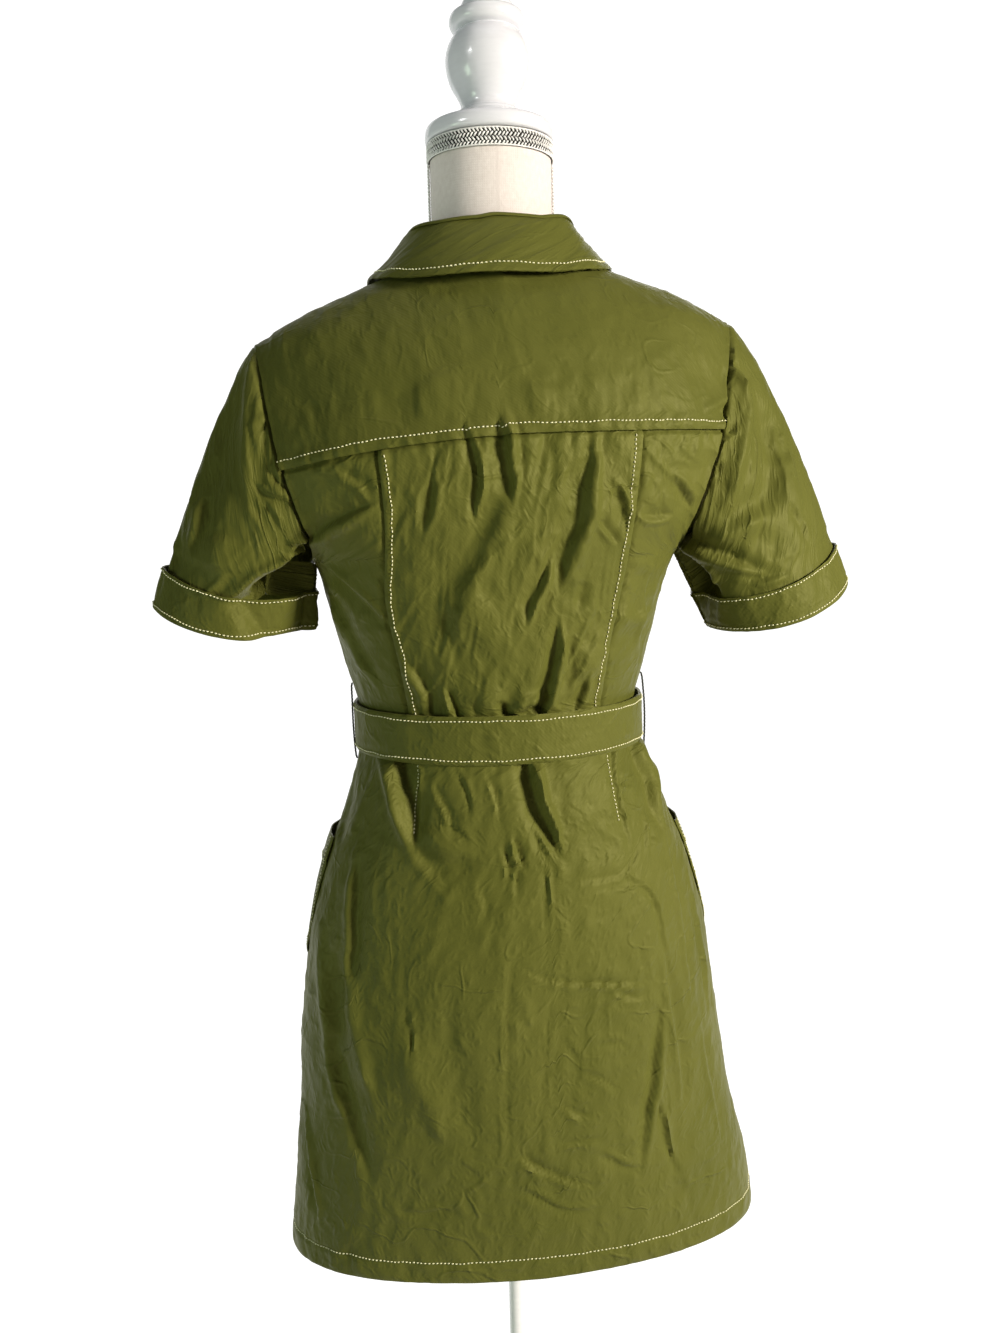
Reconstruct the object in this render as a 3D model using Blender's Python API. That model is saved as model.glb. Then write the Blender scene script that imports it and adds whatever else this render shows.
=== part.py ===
"""A belted shirt dress standing on a limbless dress form.

Metres, +Z up. The origin is the centre of the stand's base, on the floor. The dress faces -Y, and the
wearer's left is +X. Every cloth piece is a closed wall made from one function of the dress's body, or
from a table of its own, and pieces that meet at a seam share the points of that seam.
"""

import math

import bmesh
import bpy
import numpy as np

# ---------------------------------------------------------------- driving dimensions
CLOTH = 0.0015            # wall of every cloth piece
SEAM_INSET = 0.0002       # each piece stops this far short of its seam
LIFT = 0.0009             # clear space under a piece that lies on another
LAP_LIFT = 0.0026         # how far the right front stands off to pass over the left one

WAIST = 0.985             # waist seam, under the belt
UNDERARM = 1.122          # lowest point of the armhole
ARCH_FOOT = 1.200         # above this height the body closes in an arch over the shoulders
ARCH_RUN = 0.220          # cloth length given to each half of that arch
RIDGE = ARCH_FOOT + ARCH_RUN
SHOULDER_SEAM = RIDGE - 0.066   # seam between yoke and front, just in front of the ridge
LEAN = 0.036              # the shoulders lean down this much per metre towards the wearer's left
FRONT_ARCH_POWER = 1.35   # the chest closes in faster than the back

FRONT_LAP = 0.015         # each front reaches this far past the centre
LAP_COLUMN = 0.021        # full stand-off from here to the lap's edge
NECK_SIDE = 0.062         # half width of the neck opening on the ridge
NECK_BACK = 1.338         # body height of the neck opening at the centre back
YOKE_END = 0.172          # distance from the centre at which the yoke seam meets the armhole
YOKE_LEVEL = 1.215        # mean level of the yoke seam
YOKE_COLUMNS_SHOULDER = 5
YOKE_COLUMNS_NECK = 8
SIDE_PANEL_COLUMNS = 4
CENTRE_PANEL_COLUMNS = 10

# height, half width, depth in front, depth behind, shift to the wearer's left
BODY_ROWS = (
    (0.500, 0.2150, 0.117, 0.113, -0.0095),
    (0.570, 0.2070, 0.116, 0.113, -0.0085),
    (0.650, 0.1930, 0.116, 0.114, -0.0030),
    (0.710, 0.1865, 0.116, 0.115, -0.0005),
    (0.770, 0.1790, 0.116, 0.115, 0.0000),
    (0.820, 0.1700, 0.114, 0.113, 0.0000),
    (0.860, 0.1585, 0.110, 0.109, 0.0000),
    (0.905, 0.1410, 0.103, 0.102, 0.0005),
    (0.940, 0.1285, 0.095, 0.096, 0.0015),
    (0.965, 0.1195, 0.090, 0.091, 0.0035),
    (1.005, 0.1180, 0.088, 0.089, 0.0045),
    (1.030, 0.1250, 0.094, 0.093, 0.0045),
    (1.060, 0.1325, 0.105, 0.097, 0.0045),
    (1.094, 0.1405, 0.117, 0.101, 0.0040),
    (1.125, 0.1520, 0.125, 0.105, 0.0020),
    (1.160, 0.1850, 0.125, 0.108, 0.0010),
    (1.200, 0.2050, 0.119, 0.108, 0.0000),
)

# distance from the centre, height of the shoulder ridge there
RIDGE_ROWS = (
    (0.000, 1.3750),
    (0.060, 1.3600),
    (0.110, 1.3420),
    (0.153, 1.3250),
    (0.185, 1.3080),
    (0.210, 1.2920),
)

# body height, distance of the armhole from the centre
ARMHOLE_ROWS = (
    (1.122, 0.1515),
    (1.140, 0.1520),
    (1.160, 0.1580),
    (1.180, 0.1645),
    (1.200, 0.1710),
    (1.250, 0.1800),
    (1.310, 0.1870),
    (1.420, 0.1945),
)

# distance from the centre (wearer's left is +), height of the yoke seam behind
YOKE_SEAM_ROWS = (
    (-0.190, 1.2150),
    (-0.090, 1.2165),
    (0.000, 1.2175),
    (0.090, 1.2125),
    (0.190, 1.1990),
)

# height, distance of the princess seam from the centre on the left, and on the right
PRINCESS_ROWS = (
    (0.960, 0.068, 0.072),
    (1.040, 0.078, 0.077),
    (1.100, 0.090, 0.090),
    (1.160, 0.092, 0.097),
    (1.230, 0.098, 0.103),
)

# body height, how far the neck edge of a front lies from the centre on its own side
NECK_EDGE_ROWS = (
    (1.222, -FRONT_LAP),
    (1.236, -0.0090),
    (1.262, 0.0110),
    (1.290, 0.0310),
    (1.312, 0.0450),
)

OPEN_NECK = 1.250         # the fronts' lap column ends here and runs into the neck edge

# body height, distance of the neck opening from the centre, in front of the ridge
FRONT_NECKLINE_ROWS = (
    (1.312, 0.0450),
    (1.330, 0.0520),
    (1.354, 0.0575),
    (1.385, 0.0610),
    (1.420, NECK_SIDE),
)

# largest folds: side (+1 behind, -1 in front), x and z of start, middle and end, half width,
# height (minus is a trough)
LARGE_FOLDS = (
    (1, -0.066, 1.205, -0.060, 1.150, -0.022, 1.075, 0.013, -0.0045),
    (1, 0.008, 1.205, 0.014, 1.150, 0.046, 1.080, 0.015, -0.0045),
    (1, -0.034, 1.060, -0.026, 1.040, -0.022, 1.018, 0.013, -0.0045),
    (1, 0.040, 1.030, 0.025, 1.022, 0.005, 1.020, 0.014, 0.0045),
    (1, -0.060, 1.030, -0.052, 1.022, -0.045, 1.018, 0.013, 0.0040),
    (1, 0.092, 0.945, 0.072, 0.900, 0.048, 0.850, 0.013, -0.0045),
    (1, -0.022, 0.945, -0.030, 0.900, -0.055, 0.850, 0.013, -0.0040),
    (1, 0.130, 0.760, 0.126, 0.680, 0.112, 0.590, 0.020, -0.0055),
    (1, -0.140, 0.740, -0.138, 0.670, -0.125, 0.600, 0.018, -0.0050),
    (1, -0.165, 0.800, -0.176, 0.730, -0.186, 0.650, 0.020, 0.0045),
    (1, 0.160, 0.820, 0.168, 0.730, 0.172, 0.640, 0.018, 0.0045),
    (-1, 0.060, 0.945, 0.070, 0.900, 0.084, 0.850, 0.014, -0.0040),
    (-1, -0.050, 0.945, -0.060, 0.900, -0.078, 0.845, 0.014, -0.0040),
    (-1, 0.118, 0.760, 0.128, 0.680, 0.138, 0.600, 0.020, -0.0055),
    (-1, -0.108, 0.780, -0.118, 0.700, -0.128, 0.610, 0.020, -0.0055),
    (-1, 0.074, 1.110, 0.062, 1.060, 0.050, 1.020, 0.015, -0.0035),
    (-1, -0.078, 1.110, -0.064, 1.060, -0.050, 1.020, 0.015, -0.0035),
)

BELT_CALM = 0.020         # folds die out this near the middle of the belt
SIDE_CALM = 0.035         # and over this depth at the side seams

BUST_APART = 0.082        # each side of the centre
BUST_HEIGHT = 1.160
BUST_SPREAD = 0.046
BUST_OUT = 0.011

# hem height behind, at the sides and in front
HEM_BACK = 0.533
HEM_SIDE = 0.514
HEM_FRONT = 0.525
HEM_RISE = 0.009          # how much higher the hem hangs at the wearer's right

# sleeves, by side. centre: middle of the cuff. across: half of the cuff's width.
# depth: half of the cuff's depth. drop: how much lower it hangs behind. swell: roundness of the cap
CUFF_BAND = 0.031
SLEEVES = {
    "left": {"centre": (0.2215, 0.004, 1.0800), "across": (0.0640, 0.0, 0.0125), "depth": 0.047,
             "drop": 0.012, "swell": 0.006},
    "right": {"centre": (-0.2400, 0.004, 1.0775), "across": (-0.0610, 0.0, 0.0190), "depth": 0.047,
              "drop": 0.012, "swell": 0.009},
}

# collar, wearer's left half: turn, fold line x y z, edge x y z
COLLAR_ROWS = (
    (0.00, 0.0000, 0.0570, 1.3865, 0.0000, 0.0800, 1.3350),
    (0.28, 0.0370, 0.0485, 1.3860, 0.0520, 0.0680, 1.3350),
    (0.52, 0.0625, 0.0230, 1.3830, 0.0880, 0.0330, 1.3470),
    (0.72, 0.0675, -0.0130, 1.3740, 0.1010, -0.0120, 1.3520),
    (0.88, 0.0590, -0.0460, 1.3560, 0.0985, -0.0640, 1.3180),
    (1.00, 0.0470, -0.0720, 1.3350, 0.0850, -0.1030, 1.2780),
)
COLLAR_SHIFT = 0.003      # the collar sits this far to the wearer's left
COLLAR_SAG = 0.0025       # the leaf hangs in by this much over the shoulders

BELT_LOW = 0.9655
BELT_HIGH = 1.0045
BELT_WALL = 0.0022
BELT_HALF_WIDTH = 0.1237
BELT_DEPTH_FRONT = 0.0962
BELT_DEPTH_BACK = 0.0944
BELT_SHIFT = 0.004        # the waist sits this far to the wearer's left
BELT_TAIL_REACH = 0.105
LOOP_REACH = {1: 0.0064, -1: 0.0088}   # how far each thread loop bows out, by side
LOOP_RADIUS = 0.0009
LOOP_SEAT = 0.0006        # clear space between a loop's ends and the cloth
BUCKLE_WIDTH = 0.044
BUCKLE_BAR = 0.0035
BUCKLE_WALL = 0.0028

FRONT_COLUMN = math.radians(7.6)   # girth of one column of a skirt front
POCKET_TOP = 0.888
POCKET_TALL = 0.114
POCKET_COLUMNS = 5        # of the front panel's columns, from the side seam
POCKET_BEHIND = math.radians(7.0)
POCKET_STAND_OFF = 0.006
POCKET_CORNER = 0.38      # share of its height that the pocket's lower corners are cut away

BUTTON_HEIGHTS = (1.228, 1.146, 1.064, 0.905, 0.823, 0.741, 0.659)
BUTTON_RADIUS = 0.0072
BUTTON_THICK = 0.0028

FORM_BOTTOM = 0.700
FORM_INSET = 0.0090       # linen to the outside of the dress, measured level
SHOULDER_SNUG = 0.0034    # the dress rests closer on the form's shoulders by this much
NECK_CLEARANCE = 0.012    # and the linen falls back by this much round the neck
ARM_PLATE_INSET = 0.007   # flat end of the form's shoulder to the armhole seam
NECK_HALF_WIDTH = 0.0485
NECK_HALF_DEPTH = 0.0460
NECK_ROOT = 1.330
NECK_TOP = 1.4495
POLE_RADIUS = 0.0075
BASE_RADIUS = 0.165
BASE_THICK = 0.020

# dress form below the waist: height, half width, depth in front, depth behind
HIP_ROWS = (
    (0.700, 0.136, 0.088, 0.086),
    (0.720, 0.146, 0.096, 0.094),
    (0.760, 0.153, 0.100, 0.098),
    (0.820, 0.155, 0.101, 0.099),
    (0.900, 0.150, 0.099, 0.098),
)

# turned finial: height, radius
FINIAL_ROWS = (
    (1.4630, 0.0440),
    (1.4655, 0.0400),
    (1.4690, 0.0310),
    (1.4740, 0.0245),
    (1.4790, 0.0225),
    (1.4850, 0.0250),
    (1.4940, 0.0303),
    (1.5040, 0.0332),
    (1.5120, 0.0338),
    (1.5210, 0.0320),
    (1.5290, 0.0270),
    (1.5330, 0.0235),
    (1.5350, 0.0270),
    (1.5385, 0.0296),
    (1.5430, 0.0296),
    (1.5465, 0.0265),
    (1.5480, 0.0215),
    (1.5540, 0.0195),
    (1.5600, 0.0140),
    (1.5630, 0.0070),
)

OLIVE = (0.080, 0.086, 0.022)
OLIVE_DEEP = (0.070, 0.078, 0.020)
HORN = (0.115, 0.110, 0.040)
LINEN = (0.700, 0.640, 0.570)
WHITE_PAINT = (0.800, 0.800, 0.810)
BRAID_GREY = (0.520, 0.500, 0.480)


# ---------------------------------------------------------------- tables and curves
def read(rows, key, column):
    """Value of a table's column at any key, on a smooth curve through its rows."""
    keys = np.array([row[0] for row in rows])
    values = np.array([row[column] for row in rows])
    slopes = np.gradient(values, keys)
    k = np.clip(np.asarray(key, float), keys[0], keys[-1])
    i = np.clip(np.searchsorted(keys, k) - 1, 0, len(keys) - 2)
    span = keys[i + 1] - keys[i]
    t = (k - keys[i]) / span
    ends = values[i] * (1 + 2 * t) * (1 - t) ** 2 + values[i + 1] * t * t * (3 - 2 * t)
    return ends + span * (slopes[i] * t * (1 - t) ** 2 - slopes[i + 1] * t * t * (1 - t))


def ease(t):
    t = np.clip(t, 0.0, 1.0)
    return t * t * (3 - 2 * t)


def unit(vectors):
    return vectors / np.maximum(np.linalg.norm(vectors, axis=-1, keepdims=True), 1e-12)


# ---------------------------------------------------------------- the dress's body
def half_width(height):
    """Half width of the body, which is the same all the way over the shoulders."""
    return read(BODY_ROWS, np.minimum(height, ARCH_FOOT), 1)


def smooth_body(side, girth, height):
    """Points of the body without folds.

    side is +1 behind and -1 in front. girth is the angle round the section from the centre line,
    plus towards the wearer's left. height is measured along the cloth: it is the level up to
    ARCH_FOOT, reaches RIDGE on top of the shoulder and goes on down the other side.
    """
    girth, height = np.broadcast_arrays(np.asarray(girth, float), np.asarray(height, float))
    level = np.minimum(height, ARCH_FOOT)
    turn = np.maximum(height - ARCH_FOOT, 0.0) / ARCH_RUN * (math.pi / 2)
    behind = side * np.cos(turn) > 0
    depth = np.where(behind, read(BODY_ROWS, level, 3), read(BODY_ROWS, level, 2))
    closing = np.abs(np.cos(turn)) ** np.where(behind, 1.0, FRONT_ARCH_POWER)
    x = half_width(level) * np.sin(girth)
    y = np.where(behind, 1.0, -1.0) * depth * np.cos(girth) * closing
    ridge = read(RIDGE_ROWS, np.abs(x), 1)
    z = np.where(height < ARCH_FOOT, height, ARCH_FOOT + (ridge - ARCH_FOOT) * np.sin(turn))
    away = (np.abs(x) - BUST_APART) ** 2 + (z - BUST_HEIGHT) ** 2
    y = y - np.where(behind, 0.0, BUST_OUT) * np.exp(-away / (2 * BUST_SPREAD**2))
    x = x + read(BODY_ROWS, level, 4)
    z = z - LEAN * x * ease((z - 1.0) / 0.25)
    return np.stack([x, y, z], axis=-1)


def body_normals(side, girth, height):
    """Outward normals of the body without folds."""
    step = 1e-4
    along = smooth_body(side, girth + step, height) - smooth_body(side, girth - step, height)
    up = smooth_body(side, girth, height + step) - smooth_body(side, girth, height - step)
    return unit(np.cross(along, up)) * -side


def fold_height(points, side):
    """How far the large folds push the cloth out at each point."""
    total = np.zeros(points.shape[:-1])
    place = points[..., [0, 2]]
    for fold_side, x0, z0, x1, z1, x2, z2, width, height in LARGE_FOLDS:
        if fold_side != side:
            continue
        gap = np.full(total.shape, np.inf)
        for start, end in (((x0, z0), (x1, z1)), ((x1, z1), (x2, z2))):
            run = np.subtract(end, start)
            rel = place - np.array(start)
            t = np.clip(rel @ run / (run @ run), 0.0, 1.0)
            gap = np.minimum(gap, np.linalg.norm(rel - t[..., None] * run, axis=-1))
        total += height * np.exp(-((gap / width) ** 2))
    total *= ease((np.abs(points[..., 2] - WAIST) - BELT_CALM) / 0.022)
    return total * ease(np.abs(points[..., 1]) / SIDE_CALM)


def cloth(side, girth, height, out=0.0):
    """Points and normals of the cloth, folds and all, moved out by a distance."""
    points = smooth_body(side, girth, height)
    normals = body_normals(side, girth, height)
    push = fold_height(points, side) + out
    return points + normals * np.asarray(push)[..., None], normals


def girth_at(x, height):
    """Girth angle at a distance from the body's own centre line."""
    return np.arcsin(np.clip(np.asarray(x) / half_width(height), -1.0, 1.0))


def height_at_level(x, level):
    """Cloth height of a level above ARCH_FOOT, at a distance from the centre."""
    ridge = read(RIDGE_ROWS, np.abs(x), 1)
    share = np.clip((level - ARCH_FOOT) / (ridge - ARCH_FOOT), 0.0, 1.0)
    return np.where(level < ARCH_FOOT, level, ARCH_FOOT + ARCH_RUN * np.arcsin(share) / (math.pi / 2))


# ---------------------------------------------------------------- meshes
def coons(left, right, bottom, top):
    """Fill a patch between four edges, each a row of (girth, height) pairs that share corners."""
    left, right, bottom, top = (np.asarray(edge, float) for edge in (left, right, bottom, top))
    v = np.linspace(0, 1, len(left))[:, None, None]
    u = np.linspace(0, 1, len(bottom))[None, :, None]
    across = (1 - u) * left[:, None] + u * right[:, None]
    along = (1 - v) * bottom[None] + v * top[None]
    corners = ((1 - u) * (1 - v) * bottom[0] + u * (1 - v) * bottom[-1]
               + (1 - u) * v * top[0] + u * v * top[-1])
    return across + along - corners


def pull_in(points, rows=(True, True), columns=(True, True), by=SEAM_INSET):
    """Stop a grid just short of the seams along its edges."""
    moved = points.copy()
    if rows[0]:
        moved[0] += unit(points[1] - points[0]) * by
    if rows[1]:
        moved[-1] += unit(points[-2] - points[-1]) * by
    if columns[0]:
        moved[:, 0] += unit(points[:, 1] - points[:, 0]) * by
    if columns[1]:
        moved[:, -1] += unit(points[:, -2] - points[:, -1]) * by
    return moved


def grid_normals(points, wraps=False, flip=False):
    if wraps:
        padded = np.concatenate([points[:, -1:], points, points[:, :1]], axis=1)
        across = np.gradient(padded, axis=1)[:, 1:-1]
    else:
        across = np.gradient(points, axis=1)
    normals = unit(np.cross(across, np.gradient(points, axis=0)))
    return -normals if flip else normals


def material(name, colour, roughness, metallic=0.0):
    made = bpy.data.materials.get(name) or bpy.data.materials.new(name)
    made.use_nodes = True
    shader = made.node_tree.nodes["Principled BSDF"]
    shader.inputs["Base Color"].default_value = (*colour, 1.0)
    shader.inputs["Roughness"].default_value = roughness
    shader.inputs["Metallic"].default_value = metallic
    return made


def add_object(name, bm, finish, smooth_under=40.0):
    bmesh.ops.recalc_face_normals(bm, faces=bm.faces)
    mesh = bpy.data.meshes.new(name)
    bm.to_mesh(mesh)
    bm.free()
    mesh.materials.append(finish)
    mesh.shade_smooth()
    mesh.set_sharp_from_angle(angle=math.radians(smooth_under))
    made = bpy.data.objects.new(name, mesh)
    bpy.context.scene.collection.objects.link(made)
    return made


def wall(name, points, normals, finish, thick=CLOTH, wraps=False, keep=None):
    """Closed wall: an outer skin through the points, an inner skin behind it, and rims between."""
    rows, columns = points.shape[:2]
    skins = (points, points - normals * thick)
    bm = bmesh.new()
    made = {}

    def vertex(skin, i, j):
        key = (skin, i, j % columns)
        if key not in made:
            made[key] = bm.verts.new(skins[skin][i, j % columns])
        return made[key]

    edges = {}
    for i in range(rows - 1):
        for j in range(columns if wraps else columns - 1):
            if keep is not None and not keep(i, j):
                continue
            ring = [(i, j), (i, (j + 1) % columns), (i + 1, (j + 1) % columns), (i + 1, j)]
            a, b, c, d = [vertex(0, *corner) for corner in ring]
            bm.faces.new((a, b, c))
            bm.faces.new((a, c, d))
            a, b, c, d = [vertex(1, *corner) for corner in ring]
            bm.faces.new((c, b, a))
            bm.faces.new((d, c, a))
            for start, end in zip(ring, ring[1:] + ring[:1]):
                if (end, start) in edges:
                    del edges[(end, start)]
                else:
                    edges[(start, end)] = True
    for start, end in edges:
        a, b = vertex(0, *start), vertex(0, *end)
        c, d = vertex(1, *end), vertex(1, *start)
        bm.faces.new((b, a, d))
        bm.faces.new((b, d, c))
    return add_object(name, bm, finish)


def turned(name, profile, finish, segments=28):
    """Solid of revolution about the stand's axis, from (height, radius) rows, capped at both ends."""
    bm = bmesh.new()
    rings = []
    for z, radius in profile:
        ring = []
        for k in range(segments):
            angle = 2 * math.pi * k / segments
            ring.append(bm.verts.new((radius * math.sin(angle), radius * math.cos(angle), z)))
        rings.append(ring)
    for low, high in zip(rings, rings[1:]):
        for k in range(segments):
            n = (k + 1) % segments
            bm.faces.new((low[k], low[n], high[n], high[k]))
    bm.faces.new(rings[0][::-1])
    bm.faces.new(rings[-1])
    return add_object(name, bm, finish, 50.0)


# ---------------------------------------------------------------- seams that pieces share
def steps(first, last, count):
    return np.linspace(first, last, count + 1)


LOWER_ROWS = steps(WAIST, UNDERARM, 6)          # side seam, waist to underarm
FRONT_ARM_ROWS = steps(UNDERARM, SHOULDER_SEAM, 8)
ROWS_OVER_SHOULDER = steps(RIDGE, 2 * RIDGE - SHOULDER_SEAM, 3)


def armhole_girth(height):
    """Girth angle of the armhole, on either side of the ridge."""
    folded = np.where(height > RIDGE, 2 * RIDGE - height, height)
    return girth_at(read(ARMHOLE_ROWS, folded, 1), folded)


def yoke_seam_height(x):
    """Cloth height of the yoke seam at a distance from the centre."""
    level = read(YOKE_SEAM_ROWS, x, 1)
    return height_at_level(x, level)


def yoke_corner(sign):
    """Where the yoke seam meets the armhole behind."""
    height = yoke_seam_height(sign * YOKE_END)
    return float(sign * armhole_girth(height)), float(height)


def back_arm_rows(sign):
    return steps(UNDERARM, yoke_corner(sign)[1], 4)


def yoke_arm_rows(sign):
    """Armhole heights of the yoke, closer together near the ridge."""
    share = 1 - (1 - np.linspace(0, 1, 7)) ** 1.3
    low = yoke_corner(sign)[1]
    return low + (RIDGE - low) * share


def princess_x(height, sign):
    return sign * read(PRINCESS_ROWS, height, 1 if sign > 0 else 2)


def princess_corner(sign):
    height = yoke_seam_height(princess_x(YOKE_LEVEL, sign))
    return float(girth_at(princess_x(height, sign), height)), float(height)


def seam_row(start, end, count):
    """Points of the yoke seam between two girths."""
    rows = []
    for girth in np.linspace(start, end, count + 1):
        x = half_width(ARCH_FOOT) * math.sin(girth)
        rows.append((girth, float(yoke_seam_height(x))))
    return rows


def neckline_height(girth):
    """Body height of the neck opening behind the ridge."""
    share = abs(math.sin(girth)) * half_width(RIDGE) / NECK_SIDE
    return NECK_BACK + (RIDGE - NECK_BACK) * share**3


def front_neck_girth(height):
    """Girth angle of the neck opening in front of the ridge, on the left."""
    folded = 2 * RIDGE - height if height > RIDGE else height
    return float(girth_at(read(FRONT_NECKLINE_ROWS, folded, 1), folded))


# ---------------------------------------------------------------- bodice
def back_panels(finish):
    """Two side panels and the centre panel, waist seam to yoke seam."""
    corners = {sign: (yoke_corner(sign), princess_corner(sign)) for sign in (1, -1)}
    waist_side = math.pi / 2
    for sign, name in ((1, "back_side_panel_left"), (-1, "back_side_panel_right")):
        heights = np.concatenate([LOWER_ROWS, back_arm_rows(sign)[1:]])
        outer = [(sign * waist_side, h) if h < UNDERARM else (sign * float(armhole_girth(h)), h)
                 for h in heights]
        inner_heights = np.linspace(WAIST, corners[sign][1][1], len(heights))
        inner = [(float(girth_at(princess_x(h, sign), h)), h) for h in inner_heights]
        bottom = [(g, WAIST) for g in np.linspace(outer[0][0], inner[0][0], SIDE_PANEL_COLUMNS + 1)]
        top = seam_row(outer[-1][0], inner[-1][0], SIDE_PANEL_COLUMNS)
        grid = coons(outer, inner, bottom, top)
        points, normals = cloth(1, grid[..., 0], grid[..., 1])
        wall(name, pull_in(points), normals, finish)
    left, right = (
        [(float(girth_at(princess_x(h, sign), h)), h)
         for h in np.linspace(WAIST, corners[sign][1][1], len(LOWER_ROWS) + 4)]
        for sign in (1, -1)
    )
    bottom = [(g, WAIST) for g in np.linspace(left[0][0], right[0][0], CENTRE_PANEL_COLUMNS + 1)]
    top = seam_row(left[-1][0], right[-1][0], CENTRE_PANEL_COLUMNS)
    grid = coons(left, right, bottom, top)
    points, normals = cloth(1, grid[..., 0], grid[..., 1])
    wall("back_center_panel", pull_in(points), normals, finish)


def yoke_grid():
    """Girth and height of the yoke: up the back to the ridge, then two flaps down to the fronts."""
    seam = seam_row(yoke_corner(1)[0], princess_corner(1)[0], SIDE_PANEL_COLUMNS)
    seam += seam_row(princess_corner(1)[0], princess_corner(-1)[0], CENTRE_PANEL_COLUMNS)[1:]
    seam += seam_row(princess_corner(-1)[0], yoke_corner(-1)[0], SIDE_PANEL_COLUMNS)[1:]
    tip, neck = float(armhole_girth(RIDGE)), float(girth_at(NECK_SIDE, RIDGE))
    crest = [(g, RIDGE) for g in np.linspace(tip, neck, YOKE_COLUMNS_SHOULDER + 1)]
    crest += [(g, neckline_height(g)) for g in np.linspace(neck, -neck, YOKE_COLUMNS_NECK + 1)[1:]]
    crest += [(g, RIDGE) for g in np.linspace(-neck, -tip, YOKE_COLUMNS_SHOULDER + 1)[1:]]
    sides = [[(sign * float(armhole_girth(h)), float(h)) for h in yoke_arm_rows(sign)]
             for sign in (1, -1)]
    back = coons(sides[0], sides[1], seam, crest)
    columns = len(crest)
    flaps = np.full((len(ROWS_OVER_SHOULDER), columns, 2), np.nan)
    for sign, first in ((1, 0), (-1, columns - 1)):
        count = YOKE_COLUMNS_SHOULDER + 1
        arm = [(sign * float(armhole_girth(h)), h) for h in ROWS_OVER_SHOULDER]
        neckline = [(sign * front_neck_girth(h), h) for h in ROWS_OVER_SHOULDER]
        low = [(g, RIDGE) for g in np.linspace(arm[0][0], neckline[0][0], count)]
        high = [(g, arm[-1][1]) for g in np.linspace(arm[-1][0], neckline[-1][0], count)]
        patch = coons(arm, neckline, low, high)
        if sign > 0:
            flaps[:, :count] = patch
        else:
            flaps[:, columns - count:] = patch[:, ::-1]
    return np.concatenate([back, flaps[1:]], axis=0), len(sides[0]) - 1


def yoke(finish):
    """One piece over both shoulders, with the neck cut out of its middle."""
    grid, ridge_row = yoke_grid()
    columns = grid.shape[1]
    points, normals = cloth(1, grid[..., 0], grid[..., 1])
    points = pull_in(points)
    inner_left, inner_right = YOKE_COLUMNS_SHOULDER, columns - 1 - YOKE_COLUMNS_SHOULDER

    def keep(i, j):
        return i < ridge_row or j < inner_left or j >= inner_right

    wall("back_yoke", points, normals, finish, keep=keep)


def front_edge(sign, heights):
    """Centre and neck edge of a front, as girths: past the centre below, open in a V above."""
    x = np.where(heights < NECK_EDGE_ROWS[0][0], -FRONT_LAP, read(NECK_EDGE_ROWS, heights, 1))
    return [(sign * float(girth_at(dx, h)), float(h)) for dx, h in zip(x, heights)]


def lap_lift(sign, girth, height):
    """The right front stands off where it passes over the left one."""
    if sign > 0:
        return 0.0
    x = half_width(height) * np.sin(girth)
    return LAP_LIFT * ease((x + LAP_COLUMN) / 0.010 + 1.0)


def front_panels(finish):
    """Both fronts, waist seam to shoulder, the right one lapping over the left."""
    stand_end = NECK_EDGE_ROWS[-1][0]
    for sign, name in ((1, "front_left"), (-1, "front_right")):
        heights = np.concatenate([LOWER_ROWS, FRONT_ARM_ROWS[1:]])
        outer = [(sign * math.pi / 2, h) if h < UNDERARM else (sign * float(armhole_girth(h)), h)
                 for h in heights]
        edge = np.array(front_edge(sign, np.linspace(WAIST, stand_end, len(heights))))
        share = np.linspace(0, 1, YOKE_COLUMNS_SHOULDER + 1)
        neck_point = sign * front_neck_girth(SHOULDER_SEAM)
        top = [(outer[-1][0] + (neck_point - outer[-1][0]) * t, SHOULDER_SEAM) for t in share]
        for h in np.linspace(SHOULDER_SEAM, stand_end, 4)[1:-1]:
            top.append((sign * front_neck_girth(h), float(h)))
        # one column inside the lap, from which the whole lap stands off
        to_neck = ease((edge[:, 1] - OPEN_NECK) / (stand_end - OPEN_NECK))[:, None]
        beside = edge + np.array([sign * (FRONT_LAP + LAP_COLUMN) / half_width(ARCH_FOOT), 0.0])
        beside[:, 0] = np.where(edge[:, 1] < NECK_EDGE_ROWS[0][0],
                                sign * girth_at(LAP_COLUMN, edge[:, 1]), beside[:, 0])
        beside = beside * (1 - to_neck) + (edge + np.array(top[-1]) - edge[-1]) * to_neck
        bottom = [(g, WAIST) for g in np.linspace(outer[0][0], beside[0][0], len(top))]
        grid = np.concatenate([coons(outer, beside, bottom, top), edge[:, None]], axis=1)
        girths, heights = grid[..., 0], grid[..., 1]
        points, normals = cloth(-1, girths, heights, lap_lift(sign, girths, heights))
        wall(name, pull_in(points), normals, finish)


# ---------------------------------------------------------------- skirt
def hem_level(side, girth):
    """Level of the hem round the skirt."""
    middle = HEM_BACK if side > 0 else HEM_FRONT
    rise = HEM_RISE * np.maximum(-np.sin(girth), 0.0)
    return middle + (HEM_SIDE - middle) * np.sin(girth) ** 2 + rise


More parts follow.
